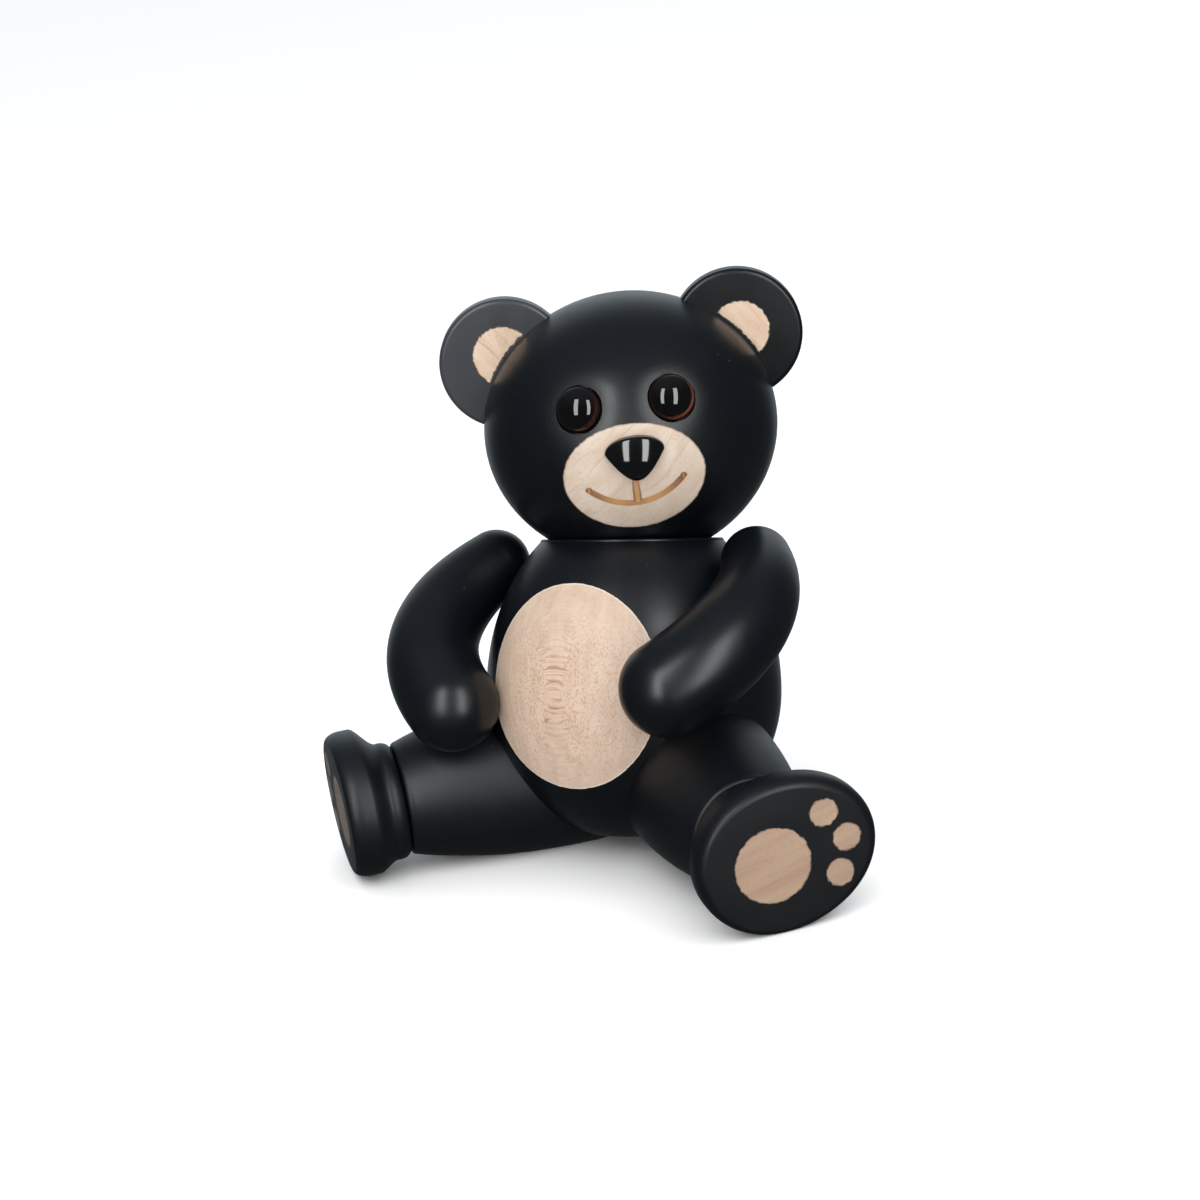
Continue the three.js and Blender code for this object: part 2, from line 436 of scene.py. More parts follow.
@dataclass(frozen=True)
class BareMaple:
    """Sanded maple with no finish: pale and matt, with fine growth lines and short dark pores.

    The frame's Y axis looks into the wood and its Z axis runs along the grain.
    """

    grain: Matrix
    pale: str = "#c9b29c"
    shade: str = "#bfa48b"
    line: str = "#a78461"
    line_apart: float = 2.6
    line_strength: float = 0.35
    pore_strength: float = 0.4
    figure: float = 0.5
    stretch: float = 0.25
    waviness: float = 9

    def local(self, tree: Tree, place: Socket) -> Socket:
        """The shaded point in the wood's own frame, in millimetres.

        Args:
            tree: the material's node tree.
            place: the shaded point.

        Returns:
            The point in that frame.
        """
        return add_node(
            tree,
            "Mapping",
            {
                "Vector": place,
                "Location": self.grain.translation,
                "Rotation": self.grain.to_euler("XYZ"),
                "Scale": (MM, MM, MM),
            },
            vector_type="TEXTURE",
        ).outputs[0]

    def pores(self, tree: Tree, local: Socket) -> Socket:
        """Pores about 0.2 mm wide and 0.4 mm long, in loose drifts; real ones are finer.

        Args:
            tree: the material's node tree.
            local: the shaded point in the wood's own frame.

        Returns:
            How dark the pores are there, from 0 to 1.
        """
        drawn = add_node(
            tree, "VectorMath", {0: local, 1: (2.1, 1.2, 1.15)}, operation="MULTIPLY"
        ).outputs[0]
        spots = add_node(
            tree, "TexVoronoi", {"Vector": drawn, "Scale": 1.0, "Randomness": 1.0}
        ).outputs["Distance"]
        dots = add_node(
            tree,
            "MapRange",
            {"Value": spots, "From Min": 0.2, "From Max": 0.42, "To Min": 1.0, "To Max": 0.0},
        ).outputs[0]
        drift = add_node(
            tree, "TexNoise", {"Vector": local, "Scale": 0.4, "Detail": 3.0, "Roughness": 0.6}
        ).outputs["Fac"]
        share = add_node(
            tree,
            "MapRange",
            {"Value": drift, "From Min": 0.34, "From Max": 0.62, "To Min": 0.15, "To Max": 1.0},
        ).outputs[0]
        strength = add_node(tree, "Math", {0: dots, 1: share}, operation="MULTIPLY").outputs[0]
        return add_node(
            tree, "Math", {0: strength, 1: self.pore_strength}, operation="MULTIPLY"
        ).outputs[0]

    def lines(self, tree: Tree, local: Socket) -> Socket:
        """Growth lines: thin, wavy, and stronger in some places than in others.

        Args:
            tree: the material's node tree.
            local: the shaded point in the wood's own frame.

        Returns:
            How dark the lines are there, from 0 to 1.
        """
        drawn = add_node(
            tree, "VectorMath", {0: local, 1: (1.0, 1.0, 0.22)}, operation="MULTIPLY"
        ).outputs[0]
        wander = add_node(
            tree, "TexNoise", {"Vector": drawn, "Scale": 0.2, "Detail": 2.0, "Roughness": 0.5}
        ).outputs["Fac"]
        across = add_node(tree, "SeparateXYZ", {"Vector": local}).outputs["X"]
        bent = add_node(
            tree, "Math", {0: wander, 1: self.waviness, 2: across}, operation="MULTIPLY_ADD"
        ).outputs[0]
        cycle = add_node(
            tree, "Math", {0: bent, 1: self.line_apart / 2}, operation="PINGPONG"
        ).outputs[0]
        thin = add_node(
            tree,
            "MapRange",
            {"Value": cycle, "From Min": 0.04, "From Max": 0.42, "To Min": 1.0, "To Max": 0.0},
            interpolation_type="SMOOTHSTEP",
        ).outputs[0]
        patch = add_node(
            tree, "TexNoise", {"Vector": drawn, "Scale": 0.35, "Detail": 2.0, "Roughness": 0.6}
        ).outputs["Fac"]
        share = add_node(
            tree,
            "MapRange",
            {"Value": patch, "From Min": 0.4, "From Max": 0.62, "To Min": 0.15, "To Max": 1.0},
        ).outputs[0]
        strength = add_node(tree, "Math", {0: thin, 1: share}, operation="MULTIPLY").outputs[0]
        return add_node(
            tree, "Math", {0: strength, 1: self.line_strength}, operation="MULTIPLY"
        ).outputs[0]

    def colour(self, tree: Tree, place: Socket) -> Socket:
        """The wood's colour.

        Args:
            tree: the material's node tree.
            place: the shaded point.

        Returns:
            The colour socket.
        """
        local = self.local(tree, place)
        drawn = add_node(
            tree, "VectorMath", {0: local, 1: (1.0, 1.0, self.stretch)}, operation="MULTIPLY"
        ).outputs[0]
        cloud = add_node(
            tree, "TexNoise", {"Vector": drawn, "Scale": self.figure, "Detail": 3.0, "Roughness": 0.5}
        ).outputs["Fac"]
        tone = add_node(
            tree,
            "MapRange",
            {"Value": cloud, "From Min": 0.35, "From Max": 0.65, "To Min": 0.0, "To Max": 1.0},
        ).outputs[0]
        wood = add_node(
            tree, "Mix", {0: tone, 6: linear(self.pale), 7: linear(self.shade)}, data_type="RGBA"
        ).outputs[2]
        for strength in (self.lines(tree, local), self.pores(tree, local)):
            wood = add_node(
                tree, "Mix", {0: strength, 6: wood, 7: linear(self.line)}, data_type="RGBA"
            ).outputs[2]
        return wood


@dataclass(frozen=True)
class LadderMaple(BareMaple):
    """Maple turned across its growth rings: a ladder of short brown bars down the middle.

    The bars bow away from the frame's origin, where the cut only grazes a ring.
    """

    bar_apart: float = 1.35
    bar_half_width: float = 1.75
    bow: float = 0.06
    unevenness: float = 3.2
    widening: float = 0.2
    ragged_by: float = 0.8

    def lines(self, tree: Tree, local: Socket) -> Socket:
        """The ladder: uneven bars, with fainter and finer ones between them and beyond its ends.

        Args:
            tree: the material's node tree.
            local: the shaded point in the wood's own frame.

        Returns:
            How dark the bars are there, from 0 to 1.
        """
        parts = add_node(tree, "SeparateXYZ", {"Vector": local})
        level = add_node(
            tree, "VectorMath", {0: local, 1: (0.22, 1.0, 1.0)}, operation="MULTIPLY"
        ).outputs[0]
        wander = add_node(
            tree, "TexNoise", {"Vector": level, "Scale": 0.45, "Detail": 2.0, "Roughness": 0.5}
        ).outputs["Fac"]
        aside = add_node(tree, "Math", {0: parts.outputs["X"]}, operation="ABSOLUTE").outputs[0]
        square = add_node(tree, "Math", {0: aside, 1: 2.0}, operation="POWER").outputs[0]
        height = add_node(tree, "Math", {0: parts.outputs["Z"]}, operation="ABSOLUTE").outputs[0]
        bowed = add_node(
            tree, "Math", {0: square, 1: self.bow, 2: height}, operation="MULTIPLY_ADD"
        ).outputs[0]
        bowed = add_node(
            tree, "Math", {0: wander, 1: self.unevenness, 2: bowed}, operation="MULTIPLY_ADD"
        ).outputs[0]
        bars = []
        coarse, fine = (self.bar_apart, 1.0, 14.0), (self.bar_apart * 0.45, 0.5, 26.0)
        for apart, strength, reach in (coarse, fine):
            cycle = add_node(
                tree, "Math", {0: bowed, 1: apart / 2}, operation="PINGPONG"
            ).outputs[0]
            bar = add_node(
                tree,
                "MapRange",
                {
                    "Value": cycle,
                    "From Min": apart * 0.06,
                    "From Max": apart * 0.22,
                    "To Min": strength,
                    "To Max": 0.0,
                },
                interpolation_type="SMOOTHSTEP",
            ).outputs[0]
            fade = add_node(
                tree,
                "MapRange",
                {"Value": height, "From Min": 1.5, "From Max": reach, "To Min": 1.0, "To Max": 0.12},
                interpolation_type="SMOOTHSTEP",
            ).outputs[0]
            bars.append(add_node(tree, "Math", {0: bar, 1: fade}, operation="MULTIPLY").outputs[0])
        total = add_node(tree, "Math", dict(enumerate(bars)), operation="MAXIMUM").outputs[0]

        # The column of bars widens up and down, and its sides are ragged
        edge = add_node(
            tree, "Math", {0: height, 1: -self.widening, 2: aside}, operation="MULTIPLY_ADD"
        ).outputs[0]
        patch = add_node(
            tree, "TexNoise", {"Vector": level, "Scale": 0.95, "Detail": 2.0, "Roughness": 0.6}
        ).outputs["Fac"]
        edge = add_node(
            tree, "Math", {0: patch, 1: 2 * self.ragged_by, 2: edge}, operation="MULTIPLY_ADD"
        ).outputs[0]
        column = add_node(
            tree,
            "MapRange",
            {
                "Value": edge,
                "From Min": self.bar_half_width * 0.75 + self.ragged_by,
                "From Max": self.bar_half_width * 1.2 + self.ragged_by,
                "To Min": 1.0,
                "To Max": 0.0,
            },
            interpolation_type="SMOOTHSTEP",
        ).outputs[0]
        share = add_node(
            tree,
            "MapRange",
            {"Value": patch, "From Min": 0.58, "From Max": 0.4, "To Min": 0.28, "To Max": 1.0},
        ).outputs[0]
        shown = add_node(tree, "Math", {0: total, 1: column}, operation="MULTIPLY").outputs[0]
        shown = add_node(tree, "Math", {0: shown, 1: share}, operation="MULTIPLY").outputs[0]
        return add_node(
            tree, "Math", {0: shown, 1: self.line_strength}, operation="MULTIPLY"
        ).outputs[0]

    def pores(self, tree: Tree, local: Socket) -> Socket:
        """Flecks 0.25 mm wide and 0.5 mm tall, thickest beside the ladder; real ones are finer.

        Args:
            tree: the material's node tree.
            local: the shaded point in the wood's own frame.

        Returns:
            How dark the flecks are there, from 0 to 1.
        """
        drawn = add_node(
            tree, "VectorMath", {0: local, 1: (3.7, 1.0, 1.9)}, operation="MULTIPLY"
        ).outputs[0]
        grain = add_node(
            tree, "TexNoise", {"Vector": drawn, "Scale": 1.0, "Detail": 1.0, "Roughness": 0.5}
        ).outputs["Fac"]
        spots = add_node(
            tree,
            "MapRange",
            {"Value": grain, "From Min": 0.53, "From Max": 0.63, "To Min": 0.0, "To Max": 1.0},
        ).outputs[0]
        parts = add_node(tree, "SeparateXYZ", {"Vector": local})
        aside = add_node(tree, "Math", {0: parts.outputs["X"]}, operation="ABSOLUTE").outputs[0]
        height = add_node(tree, "Math", {0: parts.outputs["Z"]}, operation="ABSOLUTE").outputs[0]
        for value, start, end, most, least in (
            (aside, 3.0, 15.0, self.pore_strength, self.pore_strength * 0.55),
            (aside, 2.6, 1.2, 1.0, 0.1),
            (height, 8.0, 17.0, 1.0, 0.3),
        ):
            factor = add_node(
                tree,
                "MapRange",
                {"Value": value, "From Min": start, "From Max": end, "To Min": most, "To Max": least},
            ).outputs[0]
            spots = add_node(tree, "Math", {0: spots, 1: factor}, operation="MULTIPLY").outputs[0]
        return spots


@dataclass(frozen=True)
class Burn:
    """A mark burnt into the wood with a hot point: a filled oval, or a line along its edge.

    It shows only between two heights, in millimetres in its own frame, and is darkest at its sides.
    """

    frame: Matrix
    wide: float
    tall: float
    line: float | None = None
    lowest: float = -99
    highest: float = 99
    char: float = 0.3
    deep: float = 60
    soft_edge: float = 0.01

    def local(self, tree: Tree, place: Socket) -> Socket:
        """The shaded point in the oval's own frame, where the oval's edge is 1 away.

        Args:
            tree: the material's node tree.
            place: the shaded point.

        Returns:
            The point in that frame.
        """
        return add_node(
            tree,
            "Mapping",
            {
                "Vector": place,
                "Location": self.frame.translation,
                "Rotation": self.frame.to_euler("XYZ"),
                "Scale": Vector((self.wide, self.deep, self.tall)) * MM,
            },
            vector_type="TEXTURE",
        ).outputs[0]

    def strength(self, tree: Tree, local: Socket) -> Socket:
        """How much of the mark shows at a point, from 0 to 1.

        Args:
            tree: the material's node tree.
            local: the point in the mark's own frame.

        Returns:
            The strength socket.
        """
        off = add_node(tree, "VectorMath", {0: local}, operation="LENGTH").outputs["Value"]
        inner, outer = 0.9, 1.06
        if self.line is not None:
            off = add_node(tree, "Math", {0: off, 1: 1.0}, operation="SUBTRACT").outputs[0]
            off = add_node(tree, "Math", {0: off}, operation="ABSOLUTE").outputs[0]
            inner, outer = self.line / self.wide * 0.85, self.line / self.wide * 1.1
        height = add_node(tree, "SeparateXYZ", {"Vector": local}).outputs["Z"]
        lowest, highest = self.lowest / self.tall, self.highest / self.tall
        shown = None
        for value, start, end in (
            (off, outer, inner),
            (height, lowest - self.soft_edge, lowest + self.soft_edge),
            (height, highest + self.soft_edge, highest - self.soft_edge),
        ):
            part = add_node(
                tree,
                "MapRange",
                {"Value": value, "From Min": start, "From Max": end},
                interpolation_type="SMOOTHSTEP",
            ).outputs[0]
            if shown is not None:
                part = add_node(tree, "Math", {0: shown, 1: part}, operation="MULTIPLY").outputs[0]
            shown = part
        return shown

    def depth(self, tree: Tree, local: Socket, cloud: Socket) -> Socket:
        """How deep the mark is burnt at a point.

        Args:
            tree: the material's node tree.
            local: the point in the mark's own frame.
            cloud: a slow noise that makes it uneven.

        Returns:
            The depth socket, from 0 to 1.
        """
        across = add_node(tree, "SeparateXYZ", {"Vector": local}).outputs["X"]
        aside = add_node(tree, "Math", {0: across}, operation="ABSOLUTE").outputs[0]
        side = add_node(
            tree,
            "MapRange",
            {"Value": aside, "From Min": 0.3, "From Max": 0.7, "To Min": 0.0, "To Max": 0.7},
        ).outputs[0]
        uneven = add_node(
            tree,
            "MapRange",
            {
                "Value": cloud,
                "From Min": 0.38,
                "From Max": 0.64,
                "To Min": self.char - 0.25,
                "To Max": self.char + 0.25,
            },
        ).outputs[0]
        return add_node(tree, "Math", {0: side, 1: uneven}, operation="ADD", use_clamp=True).outputs[0]


@dataclass(frozen=True)
class SatinLacqueredBeech:
    """Turned beech sprayed with satin black lacquer: deep black with a soft, slightly grainy gloss.

    Where a patch is masked off, the bare maple-pale wood shows, matt, with a thin edge line: brown
    where the lacquer crept under the mask, or pale on the belly as a painted highlight.
    """

    name: str
    patches: tuple[Patch, ...] = ()
    maple: BareMaple | None = None
    burns: tuple[Burn, ...] = ()
    black: str = "#060a0f"
    roughness: float = 0.34
    edge: str = "#5d4433"
    edge_strength: float = 0.75
    raggedness: float = 0.28
    burnt: str = "#b08455"
    scorched: str = "#6e4427"
    painted_up_to: Patch | None = None
    bead: float = 0.5

    def bare_distance(self, tree: Tree, place: Socket) -> Socket:
        """How far a point lies outside the ragged bare patches.

        Args:
            tree: the material's node tree.
            place: the shaded point.

        Returns:
            The distance in millimetres, less than 0 where the wood is bare.
        """
        distance = self.patches[0].edge_distance(tree, place)
        for patch in self.patches[1:]:
            other = patch.edge_distance(tree, place)
            distance = add_node(tree, "Math", {0: distance, 1: other}, operation="MINIMUM").outputs[0]
        if self.painted_up_to is not None:
            # A bead of lacquer ran along the joint and covers the wood there
            away = self.painted_up_to.edge_distance(tree, place)
            away = add_node(tree, "Math", {0: self.bead, 1: away}, operation="SUBTRACT").outputs[0]
            distance = add_node(tree, "Math", {0: distance, 1: away}, operation="MAXIMUM").outputs[0]
        ragged = add_node(
            tree, "TexNoise", {"Vector": place, "Scale": 1 / (0.9 * MM), "Detail": 3.0}
        ).outputs["Fac"]
        centred = add_node(tree, "Math", {0: ragged, 1: 0.5}, operation="SUBTRACT").outputs[0]
        return add_node(
            tree, "Math", {0: centred, 1: self.raggedness * 2, 2: distance}, operation="MULTIPLY_ADD"
        ).outputs[0]

    def wood(self, tree: Tree, place: Socket, cloud: Socket) -> Socket:
        """The bare wood's colour, with what is burnt into it.

        Args:
            tree: the material's node tree.
            place: the shaded point.
            cloud: a slow noise that makes the burns uneven.

        Returns:
            The colour.
        """
        wood = self.maple.colour(tree, place)
        for burn in self.burns:
            local = burn.local(tree, place)
            strength = burn.strength(tree, local)
            depth = burn.depth(tree, local, cloud)
            char = add_node(
                tree,
                "Mix",
                {0: depth, 6: linear(self.burnt), 7: linear(self.scorched)},
                data_type="RGBA",
            ).outputs[2]
            wood = add_node(tree, "Mix", {0: strength, 6: wood, 7: char}, data_type="RGBA").outputs[2]
        return wood

    def make(self) -> bpy.types.Material:
        """Builds the material.

        Returns:
            The material.
        """
        material, tree = blank_material(self.name)
        place = add_node(tree, "TexCoord", {}).outputs["Object"]
        peel = add_node(
            tree, "TexNoise", {"Vector": place, "Scale": 1 / (0.8 * MM), "Detail": 3.0}
        ).outputs["Fac"]
        cloud = add_node(
            tree, "TexNoise", {"Vector": place, "Scale": 1 / (9 * MM), "Detail": 3.0}
        ).outputs["Fac"]
        gloss = add_node(
            tree,
            "MapRange",
            {
                "Value": cloud,
                "From Min": 0.3,
                "From Max": 0.7,
                "To Min": self.roughness - 0.03,
                "To Max": self.roughness + 0.04,
            },
        ).outputs[0]

        # Dust caught in the lacquer, about 0.2 mm wide and 4 mm apart
        cells = add_node(
            tree, "TexVoronoi", {"Vector": place, "Scale": 1 / (4.2 * MM), "Randomness": 1.0}
        ).outputs["Distance"]
        dust = add_node(
            tree,
            "MapRange",
            {"Value": cells, "From Min": 0.018, "From Max": 0.032, "To Min": 0.35, "To Max": 0.0},
        ).outputs[0]
        coat = add_node(
            tree, "Mix", {0: dust, 6: linear(self.black), 7: linear("#8d9093")}, data_type="RGBA"
        ).outputs[2]
        surface = {"Base Color": coat, "Roughness": gloss, "IOR": 1.45}
        if not self.patches:
            bump = add_node(
                tree, "Bump", {"Height": peel, "Strength": 0.12, "Distance": 0.05 * MM}
            ).outputs[0]
            finish_material(tree, {**surface, "Normal": bump})
            return material

        distance = self.bare_distance(tree, place)
        bare = add_node(
            tree,
            "MapRange",
            {"Value": distance, "From Min": -0.05, "From Max": 0.05, "To Min": 1.0, "To Max": 0.0},
        ).outputs[0]
        # The thin edge line just inside a bare patch: crept lacquer, or on the belly a pale painted
        # highlight
        rim = add_node(
            tree,
            "MapRange",
            {
                "Value": distance,
                "From Min": -0.3,
                "From Max": -0.05,
                "To Min": 0.0,
                "To Max": self.edge_strength,
            },
        ).outputs[0]
        wood = self.wood(tree, place, cloud)
        wood = add_node(
            tree, "Mix", {0: rim, 6: wood, 7: linear(self.edge)}, data_type="RGBA"
        ).outputs[2]
        colour = add_node(tree, "Mix", {0: bare, 6: coat, 7: wood}, data_type="RGBA").outputs[2]
        matt = add_node(tree, "Mix", {0: bare, 2: gloss, 3: 0.62}, data_type="FLOAT").outputs[0]
        fibre = add_node(
            tree, "TexNoise", {"Vector": place, "Scale": 1 / (0.35 * MM), "Detail": 2.0}
        ).outputs["Fac"]
        grain = add_node(tree, "Mix", {0: bare, 2: peel, 3: fibre}, data_type="FLOAT").outputs[0]
        step = add_node(
            tree, "Math", {0: bare, 1: -1.5, 2: grain}, operation="MULTIPLY_ADD"
        ).outputs[0]
        bump = add_node(
            tree, "Bump", {"Height": step, "Strength": 0.1, "Distance": 0.06 * MM}
        ).outputs[0]
        finish_material(tree, {**surface, "Base Color": colour, "Roughness": matt, "Normal": bump})
        return material


@dataclass(frozen=True)
class AmberEye:
    """Polished moulded acrylic: a dark amber dome over a black pupil set off its middle, the ring's
    brightness painted light.
    """

    name: str
    frame: Matrix
    radius: float
    glow: float
    pupil: str = "#070607"
    amber: str = "#643828"
    pupil_off: Matrix = shift(-0.34, 0.3, 0)
    deep: float = 90

    def make(self) -> bpy.types.Material:
        """Builds the material.

        Returns:
            The material.
        """
        material, tree = blank_material(self.name)
        place = add_node(tree, "TexCoord", {}).outputs["Object"]
        off_middle = self.frame @ self.pupil_off
        local = add_node(
            tree,
            "Mapping",
            {
                "Vector": place,
                "Location": off_middle.translation,
                "Rotation": off_middle.to_euler("XYZ"),
                "Scale": Vector((self.radius, self.radius, self.deep)) * MM,
            },
            vector_type="TEXTURE",
        ).outputs[0]
        length = add_node(tree, "VectorMath", {0: local}, operation="LENGTH").outputs["Value"]
        ring = add_node(
            tree,
            "MapRange",
            {"Value": length, "From Min": 0.83, "From Max": 0.92, "To Min": 0.0, "To Max": self.glow},
            interpolation_type="SMOOTHSTEP",
        ).outputs[0]
        edge = add_node(
            tree,
            "MapRange",
            {"Value": length, "From Min": 0.95, "From Max": 1.01, "To Min": 1.0, "To Max": 0.1},
        ).outputs[0]
        # Light from above left gathers in the amber on the far side
        slope = add_node(
            tree, "VectorMath", {0: local, 1: (0.8, -0.6, 0.0)}, operation="DOT_PRODUCT"
        ).outputs["Value"]
        painted_light_side = add_node(
            tree,
            "MapRange",
            {"Value": slope, "From Min": 0.2, "From Max": 0.9, "To Min": 0.12, "To Max": 1.0},
        ).outputs[0]
        # Painted light: the amber ring is its own colour, but its brightness is painted, strongest on
        # the far side
        glow = add_node(tree, "Math", {0: ring, 1: painted_light_side}, operation="MULTIPLY").outputs[0]
        glow = add_node(tree, "Math", {0: glow, 1: edge}, operation="MULTIPLY").outputs[0]
        colour = add_node(
            tree, "Mix", {0: glow, 6: linear(self.pupil), 7: linear(self.amber)}, data_type="RGBA"
        ).outputs[2]
        finish_material(tree, {"Base Color": colour, "Roughness": 0.03, "IOR": 1.5})
        return material


@dataclass(frozen=True)
class PolishedBlack:
    """Thick gloss black enamel on a small moulded nose: mirror-like, with a soft unevenness."""

    name: str
    black: str = "#08080a"

    def make(self) -> bpy.types.Material:
        """Builds the material.

        Returns:
            The material.
        """
        material, tree = blank_material(self.name)
        place = add_node(tree, "TexCoord", {}).outputs["Object"]
        sag = add_node(
            tree, "TexNoise", {"Vector": place, "Scale": 1 / (3 * MM), "Detail": 1.0}
        ).outputs["Fac"]
        bump = add_node(
            tree, "Bump", {"Height": sag, "Strength": 0.25, "Distance": 0.05 * MM}
        ).outputs[0]
        finish_material(
            tree,
            {
                "Base Color": linear(self.black),
                "Roughness": 0.09,
                "IOR": 1.5,
                "Normal": bump,
                "Coat Weight": 0.2,
                "Coat Roughness": 0.04,
            },
        )
        return material


# Pieces


def hand_in(piece: Piece, finish: bpy.types.Material, node: str) -> None:
    """Gives a finished piece its material and puts it in the place of its CAD node.

    Args:
        piece: the finished piece.
        finish: its material.
        node: the CAD node that it stands for.
    """
    piece.data.materials.clear()
    piece.data.materials.append(finish)
    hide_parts(node)
    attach(piece, "root")
    log.info("%s: %d faces", piece.name, len(piece.data.polygons))


@dataclass
class Head:
    """The head with its sockets, eyes, ears and burnt smile."""

    stance: Stance
    radius: float = 30
    half_height: float = 27.4
    gap: float = 0.3
    seam: float = 0.03
    eye_side: float = 19.7
    eye_up: float = 21.7
    eye_radius: float = 4.6
    eye_bulge: float = 3.3
    eye_sunk: float = 0.75
    eye_toe_out: float = 13
    eye_tip: float = 17
    eye_stem: float = 2.3
    socket_radius: float = 4.85
    socket_depth: float = 3.4
    drill_top: float = 5
    dish_radius: float = 8.6
    dish_depth: float = 0.21
    rim_round: float = 0.28
    ear_radius: float = 13.4
    ear_thickness: float = 4.6
    ear_edge: float = 1.0
    ear_spread: float = 23.7
    ear_rise: float = 15.95
    ear_bare: dict[Side, tuple[float, float, float]] = field(
        default_factory=lambda: {Side.LEFT: (24.5, 16.8, 6.05), Side.RIGHT: (23.9, 17.8, 6.1)}
    )
    ear_bare_depth: float = 3
    muzzle_up: float = -3.35
    muzzle_wide: float = 14
    muzzle_tall: float = 10.9
    smile_up: float = 4.9
    smile_turn: float = -2.25
    smile_radius: float = 13.3
    smile_half_angle: float = 44.5
    smile_half_line: float = 0.66
    lip_aside: float = 0.1
    lip_up: float = -8.3
    lip_size: tuple[float, float] = (0.85, 7.5)
    sides: int = 192
    rings: int = 96

    def point(self, side: float, up: float) -> Vector:
        """A point on the head's surface.

        Args:
            side: its azimuth from the face's middle, to the bear's left.
            up: its elevation.

        Returns:
            The point in the head's frame, in millimetres.
        """
        rise = math.radians(up)
        reach = math.hypot(math.cos(rise) / self.radius, math.sin(rise) / self.half_height)
        return direction(side, up) / reach

    def normal(self, point: Vector) -> Vector:
        """The outward direction at a point of the surface."""
        flat, tall = self.radius**2, self.half_height**2
        return Vector((point.x / flat, point.y / flat, point.z / tall)).normalized()

    def ball(self, name: str, margin: float) -> Piece:
        """The head's plain ball in its place.

        Args:
            name: the object's name.
            margin: how far it is grown.

        Returns:
            The ball.
        """
        bpy.ops.object.select_all(action="DESELECT")
        bpy.ops.mesh.primitive_uv_sphere_add(
            segments=self.sides, ring_count=self.rings, radius=(self.radius + margin) * MM
        )
        ball = named(name)
        flat = (self.half_height + margin) / (self.radius + margin)
        with editing(ball):
            bpy.ops.transform.resize(value=(1, 1, flat))
        stand(ball, self.stance.head())
        return ball

    def eye_place(self, side: Side) -> Vector:
        """Where an eye's middle sits on the surface, in the head's frame."""
        return self.point(side.value * self.eye_side, self.eye_up)

    def eye_frame(self, side: Side) -> Matrix:
        """An eye's frame: it looks more forwards than the surface it sits in.

        Args:
            side: the eye's side.

        Returns:
            The frame, its Z along the gaze.
        """
        gaze = direction(side.value * self.eye_toe_out, self.eye_tip)
        place = self.eye_place(side)
        sunk = place - self.normal(place) * self.eye_sunk
        return self.stance.head() @ aimed(sunk, gaze)

    def on_socket_rim(self, ends: list[Vector]) -> bool:
        """Whether an edge, given in the head's frame, lies on the upper rim of a drilled socket.

        Args:
            ends: the edge's two ends, in millimetres.

        Returns:
            True if it does.
        """
        slack = 0.02
        for side in Side:
            drill = (self.stance.head().inverted() @ self.eye_frame(side)).inverted()
            first, second = (drill @ (end * MM) / MM for end in ends)
            off_wall, over_bottom = (
                max(abs(math.hypot(end.x, end.y) - self.socket_radius) for end in (first, second)),
                min(first.z, second.z) + self.socket_depth,
            )
            if off_wall < slack and over_bottom > 5 * slack:
                return abs(first.z - second.z) < 0.5 * (first - second).length + slack / 20
        return False

    def make_ball(self) -> Piece:
        """The head, with a soft dish and a drilled socket for each eye.

        Returns:
            The head.
        """
        head = self.ball("bear_head", 0)
        to_head = self.stance.head().inverted()
        from_head = self.stance.head()

        def near_eye(face: bpy.types.MeshPolygon) -> bool:
            """Whether a face lies in one of the dishes, or just outside."""
            middle, near = to_head @ face.center / MM, self.dish_radius + 1
            return any((middle - self.eye_place(side)).length < near for side in Side)

        def on_rim(edge: bpy.types.MeshEdge) -> bool:
            """Whether an edge lies on the rim of one of the sockets."""
            ends = [to_head @ head.data.vertices[index].co / MM for index in edge.vertices]
            return self.on_socket_rim(ends)

        def dished(point: Vector) -> Vector:
            """Presses the surface in round each eye, most at the socket.

            Args:
                point: a point of the ball.

            Returns:
                Where it comes to lie.
            """
            local = to_head @ (point * MM) / MM
            for side in Side:
                place = self.eye_place(side)
                out = self.normal(place)
                away = local - place
                reach = (away - out * away.dot(out)).length
                same_side = away.length < self.dish_radius * 1.3
                if same_side and reach < self.dish_radius:
                    part = (self.dish_radius - reach) / (self.dish_radius - self.socket_radius)
                    local = local - out * self.dish_depth * min(part, 1) ** 2
            return from_head @ (local * MM) / MM

        for _ in range(2):
            open_at(head, "FACE", near_eye)
            bpy.ops.mesh.subdivide(number_cuts=1, smoothness=0)
            bpy.ops.object.mode_set(mode="OBJECT")
        move_points(head, dished)
        low, high, wide = -self.socket_depth, self.drill_top, self.socket_radius
        for side in Side:
            profile = [(0, low), (wide, low), (wide, high), (0, high)]
            drill = turned(f"drill_{side.word}", profile, 72)
            stand(drill, self.eye_frame(side))
            cut_away(head, drill)
        open_at(head, "EDGE", on_rim)
        bpy.ops.mesh.bevel(offset=self.rim_round * MM, segments=3, clamp_overlap=True)
        bpy.ops.object.mode_set(mode="OBJECT")
        smooth_shading(head)
        return head

    def make_eye(self, side: Side) -> Piece:
        """A domed eye with a short stem.

        Args:
            side: its side.

        Returns:
            The eye.
        """
        dome = ellipse_arc(self.eye_radius, self.eye_bulge, 0, 90, 28)
        stem = [(0, -self.eye_stem), (self.eye_radius, -self.eye_stem)]
        eye = turned(f"bear_eye_{side.word}", [*stem, *dome[:-1], (0, self.eye_bulge)], 72)
        stand(eye, self.eye_frame(side))
        smooth_shading(eye)
        return eye

